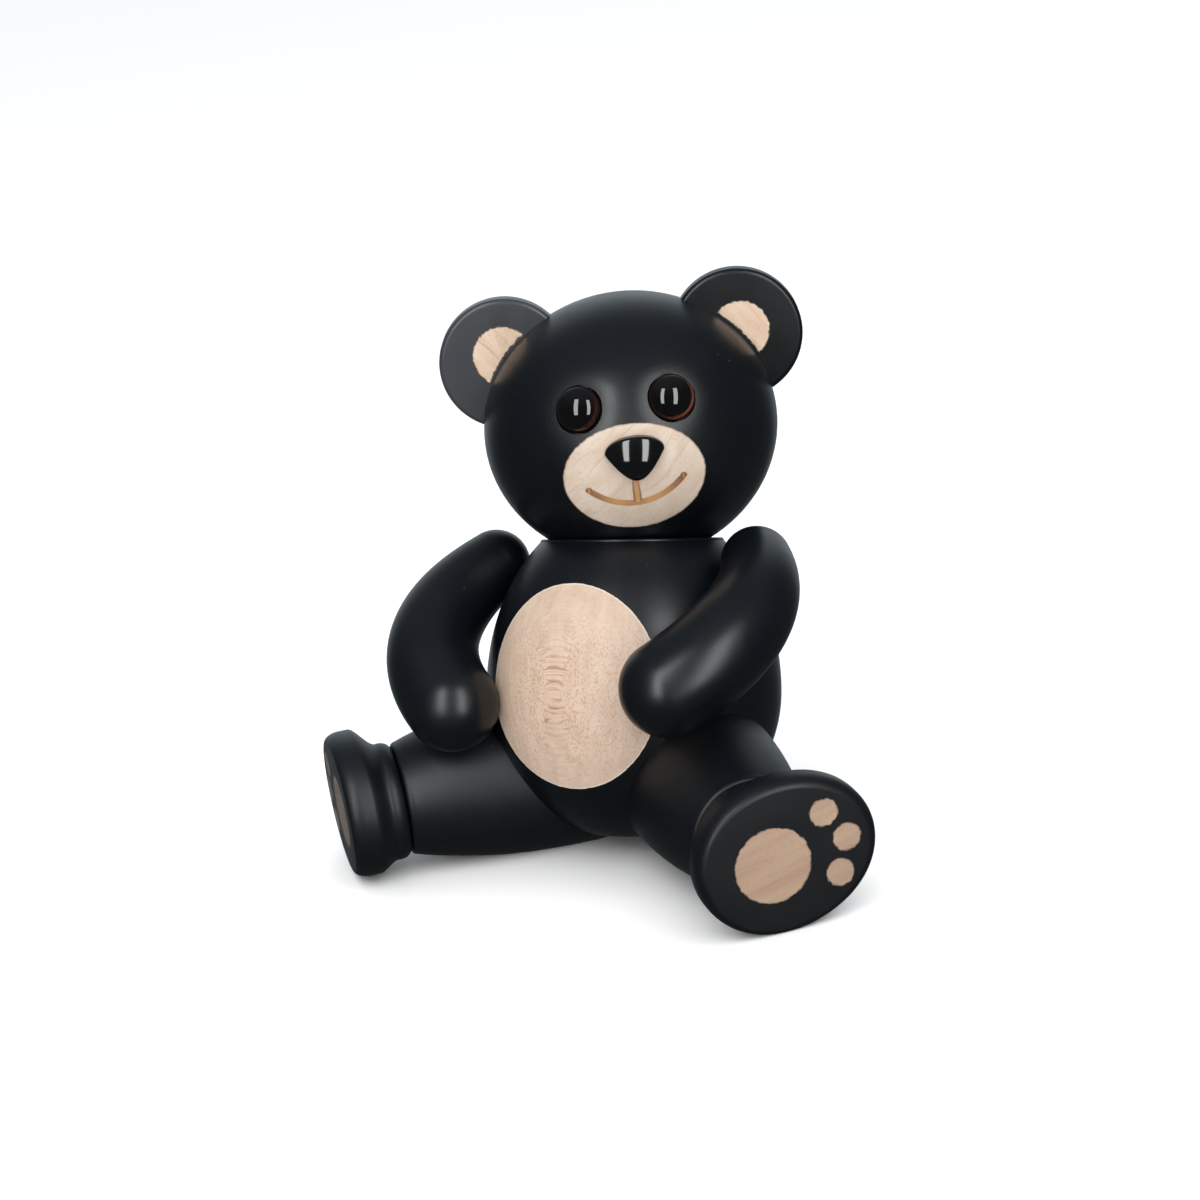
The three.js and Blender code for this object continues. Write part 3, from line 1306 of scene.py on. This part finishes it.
    def make_ear(self, side: Side) -> Piece:
        """A round disc with softly rounded edges, hollowed to meet the head.

        Args:
            side: its side.

        Returns:
            The ear.
        """
        rim = self.ear_radius - self.ear_edge
        soft = ellipse_arc(self.ear_edge, self.ear_edge, -90, 0, 8)
        back = [(rim + out, up + self.ear_edge - self.ear_thickness) for out, up in soft]
        soft = ellipse_arc(self.ear_edge, self.ear_edge, 0, 90, 8)
        face = [(rim + out, up - self.ear_edge) for out, up in soft]
        profile = [(0, -self.ear_thickness), *back, *face, (0, 0)]
        ear = turned(f"bear_ear_{side.word}", profile, 160)
        place = shift(side.value * self.ear_spread, 0, self.ear_rise)
        stand(ear, self.stance.head() @ place @ turn_about("X", 90))
        cut_away(ear, self.ball("ear_room", self.seam))
        smooth_shading(ear)
        return ear

    def surface(self) -> Patch:
        """The head's own ball, for what reaches up to it."""
        return Patch(self.stance.head(), self.radius, self.half_height, self.radius)

    def muzzle(self) -> Patch:
        """The bare oval round the nose."""
        place = shift(0, -self.radius, self.muzzle_up)
        return Patch(self.stance.head() @ place, self.muzzle_wide, self.muzzle_tall)

    def smile(self) -> tuple[Burn, ...]:
        """The burnt smile: an arc with round ends, and a line from it up to the nose.

        Returns:
            The marks, the arc first.
        """
        face, half_line = self.stance.head(), self.smile_half_line
        middle = face @ turn_about("Y", self.smile_turn) @ shift(0, -self.radius, self.smile_up)
        half_angle = math.radians(self.smile_half_angle)
        across = self.smile_radius * math.sin(half_angle)
        drop = -self.smile_radius * math.cos(half_angle)
        arc = Burn(middle, self.smile_radius, self.smile_radius, half_line, highest=drop)
        ends = (
            Burn(middle @ shift(aside, 0, drop), half_line, half_line, char=0.55)
            for aside in (across, -across)
        )
        lip = face @ shift(self.lip_aside, -self.radius, self.lip_up)
        return (arc, *ends, Burn(lip, *self.lip_size, lowest=0, char=-0.05))

    def ear_patch(self, side: Side) -> Patch:
        """The bare round in an ear's middle.

        Args:
            side: the ear's side.

        Returns:
            The bare place.
        """
        across, up, radius = self.ear_bare[side]
        place = shift(side.value * across, 0, up)
        return Patch(self.stance.head() @ place, radius, radius, self.ear_bare_depth)


@dataclass
class Nose:
    """A rounded triangle on its point, with an arched top and a front swelled to an even dome."""

    stance: Stance
    head_radius: float = 30
    half_width: float = 6
    bottom: float = -4.25
    top: float = 4.25
    corner_side: float = 5.6
    corner_up: float = 0.8
    stands: float = 2.9
    sunk: float = 2.6
    rise: float = 1
    side: float = 0.7
    rounding: float = 0.45
    swell: float = 2.3
    dome_radius: float = 8
    dome_drop: float = 0.9

    def outline(self) -> list[Vector]:
        """The outline's points, seen from the front, in millimetres.

        Returns:
            The points, from the tip round by the right.
        """
        tip, flank = Vector((1.8, self.bottom)), Vector((3.7, -1.8))
        corner = Vector((self.corner_side, self.corner_up))
        cheek, arch = Vector((6.5, 1.6)), Vector((4.7, self.top))
        right = []
        for start, first, second, end in (
            (Vector((0, self.bottom)), tip, flank, corner),
            (corner, cheek, arch, Vector((0, self.top))),
        ):
            for step in range(16):
                t = step / 16
                back = 1 - t
                right.append(
                    start * back**3
                    + first * 3 * back**2 * t
                    + second * 3 * back * t**2
                    + end * t**3
                )
        left = [Vector((-point.x, point.y)) for point in reversed(right[1:])]
        return [*right, Vector((0, self.top)), *left]

    def front(self) -> Profile:
        """How the outline shrinks towards the front: its size, 1 for full, and its height.

        Returns:
            Pairs of size and height, from the edge to the middle.
        """
        edge = self.stands - self.rounding - self.swell
        loops = [(1.0, edge)]
        mean = (self.half_width + self.top) / 2
        rounds, rings = 8, 15
        for step in range(1, rounds + 1):
            angle = math.pi / 2 * step / rounds
            inset = self.rounding * (1 - math.cos(angle))
            loops.append((1 - inset / mean, edge + self.rounding * math.sin(angle)))
        flat, brow = loops[-1]
        loops.extend((flat * (1 - step / rings), brow) for step in range(1, rings))
        return loops

    def swelled(self, point: Vector) -> Vector:
        """Lifts a point of the front onto the dome.

        Args:
            point: a point of the flat nose.

        Returns:
            Where it comes to lie.
        """
        edge = self.front()[0][1]
        rise = point.y + self.dome_drop
        lift = self.swell - (point.x**2 + rise**2) / (2 * self.dome_radius)
        return point + Vector((0, 0, lift if point.z > edge - 0.01 else 0))

    def make(self) -> Piece:
        """Extrudes the outline, rounds its front and swells it.

        Returns:
            The nose.
        """
        bpy.ops.object.select_all(action="DESELECT")
        bpy.ops.mesh.primitive_circle_add(
            vertices=len(self.outline()), radius=MM, fill_type="NGON"
        )
        nose = named("bear_nose")
        for vertex, point in zip(nose.data.vertices, self.outline()):
            vertex.co = Vector((point.x, point.y, -self.sunk)) * MM
        with editing(nose, "FACE"):
            size, height = 1.0, -self.sunk
            for next_size, next_height in self.front():
                rise = (next_height - height) * MM
                bpy.ops.mesh.extrude_region_move(TRANSFORM_OT_translate={"value": (0, 0, rise)})
                ratio = next_size / size
                bpy.ops.transform.resize(value=(ratio, ratio, 1), center_override=(0, 0, 0))
                size, height = next_size, next_height
            bpy.ops.mesh.poke()
            bpy.ops.mesh.select_all(action="SELECT")
            bpy.ops.mesh.normals_make_consistent(inside=False)
        move_points(nose, self.swelled)
        place = shift(self.side, -self.head_radius, self.rise) @ turn_about("X", 90)
        stand(nose, self.stance.head() @ place)
        smooth_shading(nose, 50)
        return nose


@dataclass
class Torso:
    """The turned body: a ball below, shoulders above, a flat rim and a dish for the head."""

    stance: Stance
    radius: float = 30.2
    shoulder_length: float = 39
    under_length: float = 30.6
    base_radius: float = 9.6
    neck_height: float = 31.1
    rim_round: float = 0.55
    belly_turn: float = 3.4
    belly_up: float = 2.2
    belly_wide: float = 18.9
    belly_tall: float = 20.4
    rings_turn: float = 0.9
    rings_up: float = 0.7
    sides: int = 192

    def profile(self, margin: float) -> Profile:
        """The turned outline.

        Args:
            margin: how far it is grown.

        Returns:
            Points from the bottom of the axis to the top.
        """
        radius = self.radius + margin
        lower = -math.degrees(math.acos(self.base_radius / radius))
        neck = self.neck_height - self.rim_round
        upper = math.degrees(math.asin(neck / (self.shoulder_length + margin)))
        under = ellipse_arc(radius, self.under_length + margin, lower, 0, 48)
        over = ellipse_arc(radius, self.shoulder_length + margin, 0, upper, 40)
        rim = over[-1][0]
        soft = [
            (rim - self.rim_round + out, neck + up)
            for out, up in ellipse_arc(self.rim_round, self.rim_round, 0, 90, 6)
        ]
        return [(0, under[0][1]), *under, *over[1:], *soft[1:], (0, self.neck_height)]

    def solid(self, name: str, margin: float) -> Piece:
        """The body in its place, before anything is cut from it.

        Args:
            name: the object's name.
            margin: how far it is grown.

        Returns:
            The body.
        """
        body = turned(name, self.profile(margin), self.sides)
        stand(body, self.stance.torso())
        return body

    def make(self, head: Head) -> Piece:
        """The finished body.

        Args:
            head: the head that its dish holds.

        Returns:
            The body.
        """
        body = self.solid("bear_body", 0)
        cut_away(body, head.ball("dish", head.gap))
        cut_at_floor(body)
        smooth_shading(body, 30)
        return body

    def on_front(self, turn: float, up: float) -> Matrix:
        """A frame on the body's front, turned about its axis and raised along it."""
        return self.stance.torso() @ turn_about("Z", turn) @ shift(0, -self.radius, up)

    def belly(self) -> Patch:
        """The bare oval on the front."""
        frame = self.on_front(self.belly_turn, self.belly_up)
        return Patch(frame, self.belly_wide, self.belly_tall)

    def belly_grain(self) -> Matrix:
        """The middle of the ladder of growth rings."""
        return self.on_front(self.rings_turn, self.rings_up)


@dataclass
class Arm:
    """A bent sausage from the shoulder to a round paw."""

    stance: Stance
    side: Side
    raised: float
    hand: Vector
    shoulder: Vector = Vector((29.7, 4.2, 26.2))
    elbow: Vector = Vector((42.4, 22.9, 11.9))
    thickness: tuple[float, float, float] = (7.1, 9.9, 9.45)
    steps: int = 72

    def place(self, point: Vector) -> Vector:
        """Sideways, forwards and up turned into the torso's frame."""
        return Vector((self.side.value * point.x, -point.y, point.z))

    def curve(self, along: float) -> Vector:
        """A point of the arm's middle line from its shoulder.

        Args:
            along: how far along, from 0 at the shoulder to 1 at the hand.

        Returns:
            The point, from the shoulder.
        """
        back = 1 - along
        root = self.place(self.shoulder)
        elbow, hand = self.place(self.elbow) - root, self.place(self.hand) - root
        return elbow * 2 * back * along + hand * along**2

    def heading(self, along: float) -> Vector:
        """The middle line's direction.

        Args:
            along: how far along, from 0 to 1.

        Returns:
            The direction, with a length of 1.
        """
        root = self.place(self.shoulder)
        elbow, hand = self.place(self.elbow) - root, self.place(self.hand) - root
        return (elbow * 2 * (1 - 2 * along) + hand * 2 * along).normalized()

    def radius(self, along: float) -> float:
        """Half the arm's thickness.

        Args:
            along: how far along, from 0 to 1.

        Returns:
            The radius in millimetres.
        """
        back = 1 - along
        first, middle, last = self.thickness
        return back**2 * first + 2 * back * along * middle + along**2 * last

    def make(self, torso: Torso, head: Head) -> Piece:
        """The finished arm.

        Args:
            torso: the body that it lies against.
            head: the head, whose seam sets the gap between the arm and the body.

        Returns:
            The arm.
        """
        cap = [(1 * out, up) for out, up in ellipse_arc(1, 1, -90, 0, 24)]
        barrel = [(1, 2 * step / self.steps) for step in range(1, self.steps)]
        end = [(out, up + 2) for out, up in ellipse_arc(1, 1, 0, 90, 24)]
        profile = [(0, -1), *cap[1:], *barrel, *end[:-1], (0, 3)]
        arm = turned(f"bear_arm_{self.side.word}", profile, 96)
        bend = self.heading(0).cross(self.heading(1)).normalized()

        def bent(point: Vector) -> Vector:
            """Carries a point of the straight arm onto the bent one.

            Args:
                point: a point of the straight arm.

            Returns:
                Where it comes to lie.
            """
            along = min(max(point.z / 2, 0), 1)
            beyond = point.z - min(max(point.z, 0), 2)
            ahead = self.heading(along)
            inward = bend.cross(ahead)
            around = inward * point.x + bend * -point.y + ahead * beyond
            return self.curve(along) + around * self.radius(along)

        move_points(arm, bent)
        with editing(arm):
            bpy.ops.mesh.normals_make_consistent(inside=False)
        hang = shift(*self.place(self.shoulder)) @ turn_about("X", -self.raised)
        stand(arm, self.stance.front() @ hang)
        cut_away(arm, torso.solid("arm_room", head.seam))
        smooth_shading(arm)
        return arm


@dataclass
class Leg:
    """A turned thigh and a foot with an egg-shaped sole."""

    side: Side
    sole_side: float
    sole_front: float
    sole_height: float
    splay: float
    drop: float
    thigh_radius: float
    thigh_length: float
    paw_tilt: float
    sole_shift: float
    foot_size: float
    sole_cant: float
    thigh_end: float = 16.8
    calf_radius: float = 11.8
    ankle_radius: float = 10.9
    ankle: float = 12.2
    knee_round: float = 1.1
    swell: float = 0.88
    gap: float = 0.3
    seam: float = 0.03
    heel_radius: float = 14.7
    toe_reach: float = 6.3
    toe_sharpness: float = 4.1
    sole_round: float = 1.7
    sole_round_depth: float = 3.2
    flange: float = 5
    waist: float = 9.4
    waist_radius: float = 12.1
    bead_radius: float = 12.15
    bead_rise: float = 0.5
    pad_radius: float = 7.5
    pad_across: float = -0.3
    pad_rise: float = -0.2
    toe_radius: float = 2.8
    toes: tuple[tuple[float, float], ...] = ((28, 13.5), (0, 14.9), (-28, 13.5))
    pad_depth: float = 4
    sides: int = 144

    def frame(self) -> Matrix:
        """The leg's frame: Z out of the sole, X away from the body's middle.

        Returns:
            The frame, its origin in the sole.
        """
        hand = self.side.value
        splay = math.radians(self.splay)
        outward = Vector((hand * math.cos(splay), math.sin(splay), 0))
        ahead = direction(hand * self.splay, -self.drop)
        turn = along_axes(outward, ahead.cross(outward), ahead)
        return shift(hand * self.sole_side, -self.sole_front, self.sole_height) @ turn

    def make_thigh(self, torso: Torso) -> Piece:
        """The thigh, hollowed to meet the body and flat on the floor.

        Args:
            torso: the body that it lies against.

        Returns:
            The thigh.
        """
        soft = ellipse_arc(self.calf_radius - self.ankle_radius, self.knee_round, 90, 0, 8)
        edge = [(self.ankle_radius + out, up - self.knee_round) for out, up in soft]
        flare = []
        for step in range(1, 49):
            part = step / 48
            grown = math.sin(math.pi / 2 * part**self.swell)
            radius = self.calf_radius + (self.thigh_radius - self.calf_radius) * grown
            depth = self.knee_round + (self.thigh_length - self.knee_round) * part
            flare.append((radius, -depth))
        end = [
            (radius, height - self.thigh_length)
            for radius, height in ellipse_arc(self.thigh_radius, self.thigh_end, 0, -90, 32)
        ]
        profile = [(0, 0), *edge, *flare, *end[1:-1], (0, -self.thigh_length - self.thigh_end)]
        thigh = turned(f"bear_leg_{self.side.word}", list(reversed(profile)), self.sides)
        stand(thigh, self.frame() @ shift(0, 0, -self.ankle - self.gap))
        cut_away(thigh, torso.solid("leg_room", self.seam))
        cut_at_floor(thigh)
        smooth_shading(thigh)
        return thigh

    def foot_profile(self) -> Profile:
        """The foot as it is turned, before it is drawn out to an egg.

        Returns:
            Points from the sole's middle to the ankle's.
        """
        inner = self.heel_radius - self.sole_round
        edge = [
            (inner + out, up - self.sole_round_depth)
            for out, up in ellipse_arc(self.sole_round, self.sole_round_depth, 90, 0, 14)
        ]
        flank = [(self.heel_radius, -self.flange)]
        for step in range(1, 25):
            part = step / 24
            height = self.flange + (self.waist - self.flange) * part
            drawn = (self.waist_radius - self.heel_radius) * smooth_step(part)
            flank.append((self.heel_radius + drawn, -height))
        crest = self.waist + self.bead_rise
        swelling = self.bead_radius - self.waist_radius
        bead = [
            (self.waist_radius + swelling * smooth_step(part), -self.waist - self.bead_rise * part)
            for part in (0.25, 0.5, 0.75)
        ]
        fall = self.bead_radius - self.ankle_radius + 0.3
        bead += [
            (self.bead_radius - fall + out, up - crest)
            for out, up in ellipse_arc(fall, self.ankle - crest, 0, -90, 16)
        ]
        return [(0, 0), (inner * 0.5, 0), *edge, *flank, *bead, (0, -self.ankle)]

    def make_foot(self) -> Piece:
        """The foot, drawn out most at its sole.

        Returns:
            The foot.
        """
        profile = list(reversed(self.foot_profile()))
        foot = turned(f"bear_foot_{self.side.word}", profile, self.sides)
        hand = self.side.value

        def drawn_out(point: Vector) -> Vector:
            """Draws a point of the round foot out to the egg shape.

            Args:
                point: a point of the round foot.

            Returns:
                Where it comes to lie.
            """
            angle = math.atan2(hand * point.y, point.x) - math.radians(self.paw_tilt)
            bulge = self.toe_reach * ((1 + math.cos(angle)) / 2) ** self.toe_sharpness
            share = 1 - smooth_step((-point.z - self.flange) / (self.waist - self.flange))
            grown = 1 + share * (self.foot_size * (1 + bulge / self.heel_radius) - 1)
            cant = share * math.tan(math.radians(self.sole_cant)) * point.x * grown
            rise = hand * share * self.sole_shift
            return Vector((point.x * grown, point.y * grown + rise, point.z + cant))

        move_points(foot, drawn_out)
        stand(foot, self.frame())
        cut_at_floor(foot)
        smooth_shading(foot)
        return foot

    def pads(self) -> tuple[Patch, ...]:
        """The bare sole pad and three toe pads.

        Returns:
            The bare places, the main pad first.
        """
        hand = self.side.value
        face = self.frame() @ turn_about("X", -90)
        across, rise = self.pad_across, self.sole_shift + self.pad_rise
        rounds = [(across, rise, self.pad_radius)]
        for angle, reach in self.toes:
            way = math.radians(angle + self.paw_tilt)
            out, up = across + reach * math.cos(way), rise + reach * math.sin(way)
            rounds.append((out, up, self.toe_radius))
        return tuple(
            Patch(face @ shift(out, 0, hand * up), radius, radius, self.pad_depth)
            for out, up, radius in rounds
        )


# Studio


def added(name: str, data: bpy.types.ID) -> Piece:
    """Adds an object for a light or a camera.

    Args:
        name: its name.
        data: the light or the camera.

    Returns:
        The object.
    """
    item = bpy.data.objects.new(name, data)
    bpy.context.collection.objects.link(item)
    return item


@dataclass
class Studio:
    """A pale floor, strip softboxes on both sides of the camera, and the camera."""

    azimuth: float = 34.4
    elevation: float = 17.5
    roll: float = 7.9
    distance: float = 522.75
    middle_right: float = 6.97
    middle_down: float = 18.45
    lens: float = 76.5
    softbox_distance: float = 1100
    softbox_aim: float = 60
    strip_aside: float = 25
    strip_above: float = 9
    strip_size: tuple[float, float] = (0.28, 1.15)
    strip_power: float = 9.2
    fill_above: float = 22
    fill_size: tuple[float, float] = (1.6, 1.6)
    fill_power: float = 17.5
    overhead_power: float = 3.1
    overhead_width: float = 145
    overhead_lean: float = 0.5
    room_colour: tuple[float, float, float] = (0.85, 0.945, 1.0)
    room_least: float = 0.07
    back_most: float = 0.88
    back_from: float = 0.68
    back_rise: float = 0.14
    ceiling_most: float = 0.15
    ceiling_from: float = 0.3

    def axes(self) -> tuple[Vector, Vector, Vector]:
        """The camera's right, up and backward directions.

        Returns:
            The three directions, each with a length of 1.
        """
        turn, roll = math.radians(self.azimuth), math.radians(self.roll)
        backward = direction(self.azimuth, self.elevation)
        level = Vector((math.cos(turn), math.sin(turn), 0))
        upright = backward.cross(level)
        right = level * math.cos(roll) - upright * math.sin(roll)
        up = level * math.sin(roll) + upright * math.cos(roll)
        return right, up, backward

    def camera(self, stance: Stance) -> None:
        """Sets the camera where the photograph was taken from.

        Args:
            stance: how the bear sits, for the height that it aims at.
        """
        right, up, backward = self.axes()
        data = bpy.data.cameras.new("camera")
        data.lens = self.lens
        data.sensor_width = 36
        data.clip_start = 0.01
        camera = added("camera", data)
        place = Vector((0, 0, stance.body_height)) + backward * self.distance
        place += up * self.middle_down - right * self.middle_right
        camera.matrix_world = shift(*place) @ along_axes(right, up, backward)
        bpy.context.scene.camera = camera

    def softbox(
        self, name: str, aside: float, above: float, size: tuple[float, float], power: float
    ) -> Piece:
        """Adds a soft light beside or above the camera that faces the bear.

        Args:
            name: the light's name.
            aside: its angle to the right of the camera.
            above: its angle above the camera.
            size: its width and height in metres.
            power: its power in watts.

        Returns:
            The light.
        """
        right, up, backward = self.axes()
        turn, rise = math.radians(aside), math.radians(above)
        way = backward * math.cos(turn) + right * math.sin(turn)
        way = way * math.cos(rise) + up * math.sin(rise)
        across = up.cross(way).normalized()
        data = bpy.data.lights.new(name, "AREA")
        data.shape = "RECTANGLE"
        data.size, data.size_y = size
        data.energy = power
        light = added(name, data)
        place = Vector((0, 0, self.softbox_aim)) + way * self.softbox_distance
        light.matrix_world = shift(*place) @ along_axes(across, way.cross(across), way)
        return light

    def lights(self) -> None:
        """Sets the softboxes and a wide light overhead.

        The strips only make highlights, and the fill and the overhead light make none.
        """
        for side, name in ((-1, "strip_left"), (1, "strip_right")):
            aside, above = self.strip_aside * side, self.strip_above
            strip = self.softbox(name, aside, above, self.strip_size, self.strip_power)
            strip.visible_diffuse = False
        fill = self.softbox("fill", 0, self.fill_above, self.fill_size, self.fill_power)
        fill.visible_glossy = False
        data = bpy.data.lights.new("overhead", "SUN")
        data.energy = self.overhead_power
        data.angle = math.radians(self.overhead_width)
        overhead = added("overhead", data)
        backward = self.axes()[2]
        way = Vector((0, 0, 1)) - Vector((backward.x, backward.y, 0)) * self.overhead_lean
        overhead.rotation_euler = way.to_track_quat("Z", "Y").to_euler()
        overhead.visible_glossy = False

    def room(self) -> None:
        """Lights the room round the bear, dim but for its back and, a little, its ceiling."""
        world = bpy.data.worlds.new("dim_room")
        world.use_nodes = True
        tree = world.node_tree
        background = tree.nodes["Background"]
        way = add_node(tree, "TexCoord", {}).outputs["Generated"]
        backward, up = self.axes()[2], Vector((0, 0, 1))
        level = Vector((-backward.x, -backward.y, 0)).normalized()
        behind = (level + up * self.back_rise).normalized()
        glows = []
        for direct, start, least, most in (
            (behind, self.back_from, self.room_least, self.back_most),
            (up, self.ceiling_from, 0.0, self.ceiling_most),
        ):
            toward = add_node(
                tree, "VectorMath", {0: way, 1: direct}, operation="DOT_PRODUCT"
            ).outputs["Value"]
            glow = add_node(
                tree,
                "MapRange",
                {
                    "Value": toward,
                    "From Min": start,
                    "From Max": 1.0,
                    "To Min": least,
                    "To Max": most,
                },
                interpolation_type="SMOOTHSTEP",
            )
            glows.append(glow.outputs[0])
        strength = add_node(tree, "Math", dict(enumerate(glows)), operation="ADD").outputs[0]
        tree.links.new(strength, background.inputs["Strength"])
        background.inputs["Color"].default_value = (*self.room_colour, 1.0)
        bpy.context.scene.world = world

    def floor(self) -> None:
        """Lays a wide pale floor."""
        bpy.ops.object.select_all(action="DESELECT")
        bpy.ops.mesh.primitive_plane_add(size=12, location=(0, 0, 0))
        floor = bpy.context.object
        floor.name = "studio_floor"
        material, tree = blank_material("matt_white_paper")
        finish_material(tree, {"Base Color": linear("#f4f4f4"), "Roughness": 0.9})
        floor.data.materials.append(material)
        floor.visible_glossy = False


def build_head(stance: Stance) -> Head:
    """Builds and dresses the head's pieces.

    Args:
        stance: how the bear sits.

    Returns:
        The head, for what leans on it.
    """
    head = Head(stance)
    face = stance.head()
    maple = BareMaple(
        face @ turn_about("Y", 50),
        pale="#c1b2a4",
        shade="#b9a591",
        line="#9c8163",
        line_apart=3.4,
        line_strength=0.36,
        pore_strength=0.3,
    )
    lacquer = SatinLacqueredBeech(
        "satin_lacquered_beech_head", (head.muzzle(),), maple, head.smile(), raggedness=0.2
    )
    hand_in(head.make_ball(), lacquer.make(), "head")
    pale = BareMaple(
        face @ turn_about("Y", -38),
        pale="#d0b7a1",
        shade="#c4a88f",
        line="#a07c5c",
        line_apart=4.3,
        line_strength=0.42,
        pore_strength=0.3,
    )
    for side in Side:
        eye_name = f"moulded_acrylic_eye_{side.word}"
        # Painted light: the left eye's amber ring is painted bright and the right eye's faint, for how
        # light falls in each
        glow = 1.0 if side is Side.LEFT else 0.2
        glass = AmberEye(eye_name, head.eye_frame(side), head.eye_radius, glow)
        hand_in(head.make_eye(side), glass.make(), f"eye_{side.word}")
        wood = SatinLacqueredBeech(
            f"satin_lacquered_beech_ear_{side.word}",
            (head.ear_patch(side),),
            pale,
            # Painted light: the right ear's lacquer is painted a lighter grey, for the light that
            # falls on its face
            black="#060a0f" if side is Side.LEFT else "#34363b",
            edge="#17120f",
            edge_strength=0.9,
            raggedness=0.5,
            painted_up_to=head.surface(),
        )
        hand_in(head.make_ear(side), wood.make(), f"ear_{side.word}")
    hand_in(Nose(stance).make(), PolishedBlack("gloss_enamelled_nose").make(), "nose")
    return head


def build_torso(stance: Stance, head: Head) -> Torso:
    """Builds and dresses the body and the arms.

    Args:
        stance: how the bear sits.
        head: the head that rests on the body.

    Returns:
        The torso, for what leans on it.
    """
    torso = Torso(stance)
    maple = LadderMaple(
        torso.belly_grain(),
        pale="#c3ad9a",
        shade="#b9a18e",
        line="#9a6c42",
        line_strength=0.9,
        pore_strength=0.55,
    )
    lacquer = SatinLacqueredBeech(
        "satin_lacquered_beech_body",
        (torso.belly(),),
        maple,
        # Painted highlight: the belly's edge is painted as a pale line where the bare wood's raised
        # edge catches the light
        edge="#d8cbbd",
        edge_strength=0.85,
        raggedness=0.12,
    )
    hand_in(torso.make(head), lacquer.make(), "body")
    plain = SatinLacqueredBeech("satin_lacquered_beech").make()
    for side, raised, hand in (
        (Side.LEFT, 10, Vector((24.8, 29.9, -2.1))),
        (Side.RIGHT, 0, Vector((25.7, 29.5, -1.6))),
    ):
        arm = Arm(stance, side, raised, hand)
        hand_in(arm.make(torso, head), plain, f"arm_{side.word}")
    return torso


def build_legs(torso: Torso) -> None:
    """Builds and dresses the legs.

    Args:
        torso: the body that they lie against.
    """
    plain = SatinLacqueredBeech("satin_lacquered_beech_legs", roughness=0.45).make()
    left = Leg(
        Side.LEFT,
        sole_side=52.3,
        sole_front=39.7,
        sole_height=15,
        splay=48,
        drop=0.9,
        thigh_radius=16.4,
        thigh_length=34.7,
        paw_tilt=9,
        sole_shift=-0.75,
        foot_size=1,
        sole_cant=0,
    )
    right = Leg(
        Side.RIGHT,
        sole_side=48.3,
        sole_front=40.4,
        sole_height=14.25,
        splay=44.2,
        drop=0.2,
        thigh_radius=17.1,
        thigh_length=37.2,
        paw_tilt=0,
        sole_shift=0.3,
        foot_size=0.97,
        sole_cant=1.2,
    )
    for leg, pale in (
        (left, ("#a0866f", "#927763", "#73573f")),
        # Painted shade: the right foot's pads are painted darker, for a sole turned away from the
        # light
        (right, ("#6c5c50", "#5f5146", "#453628")),
    ):
        word = leg.side.word
        hand_in(leg.make_thigh(torso), plain, f"leg_{word}")
        grain = leg.frame() @ turn_about("X", -90) @ turn_about("Y", 76)
        maple = BareMaple(
            grain,
            *pale,
            line_apart=4.2,
            line_strength=0.16,
            pore_strength=0.2,
            figure=0.34,
            stretch=0.08,
        )
        sole = SatinLacqueredBeech(
            f"satin_lacquered_beech_foot_{word}",
            leg.pads(),
            maple,
            roughness=0.45,
            edge="#3a2a20",
            raggedness=0.42,
        )
        hand_in(leg.make_foot(), sole.make(), f"foot_{word}")


def main() -> None:
    """Builds the bear, the floor, the lights and the camera."""
    logging.basicConfig(level=logging.INFO, format="%(name)s: %(message)s")
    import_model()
    bpy.context.scene.view_settings.view_transform = "Standard"
    stance = Stance()
    head = build_head(stance)
    torso = build_torso(stance, head)
    build_legs(torso)
    studio = Studio()
    studio.floor()
    studio.lights()
    studio.room()
    studio.camera(stance)


if __name__ == "__main__":
    main()
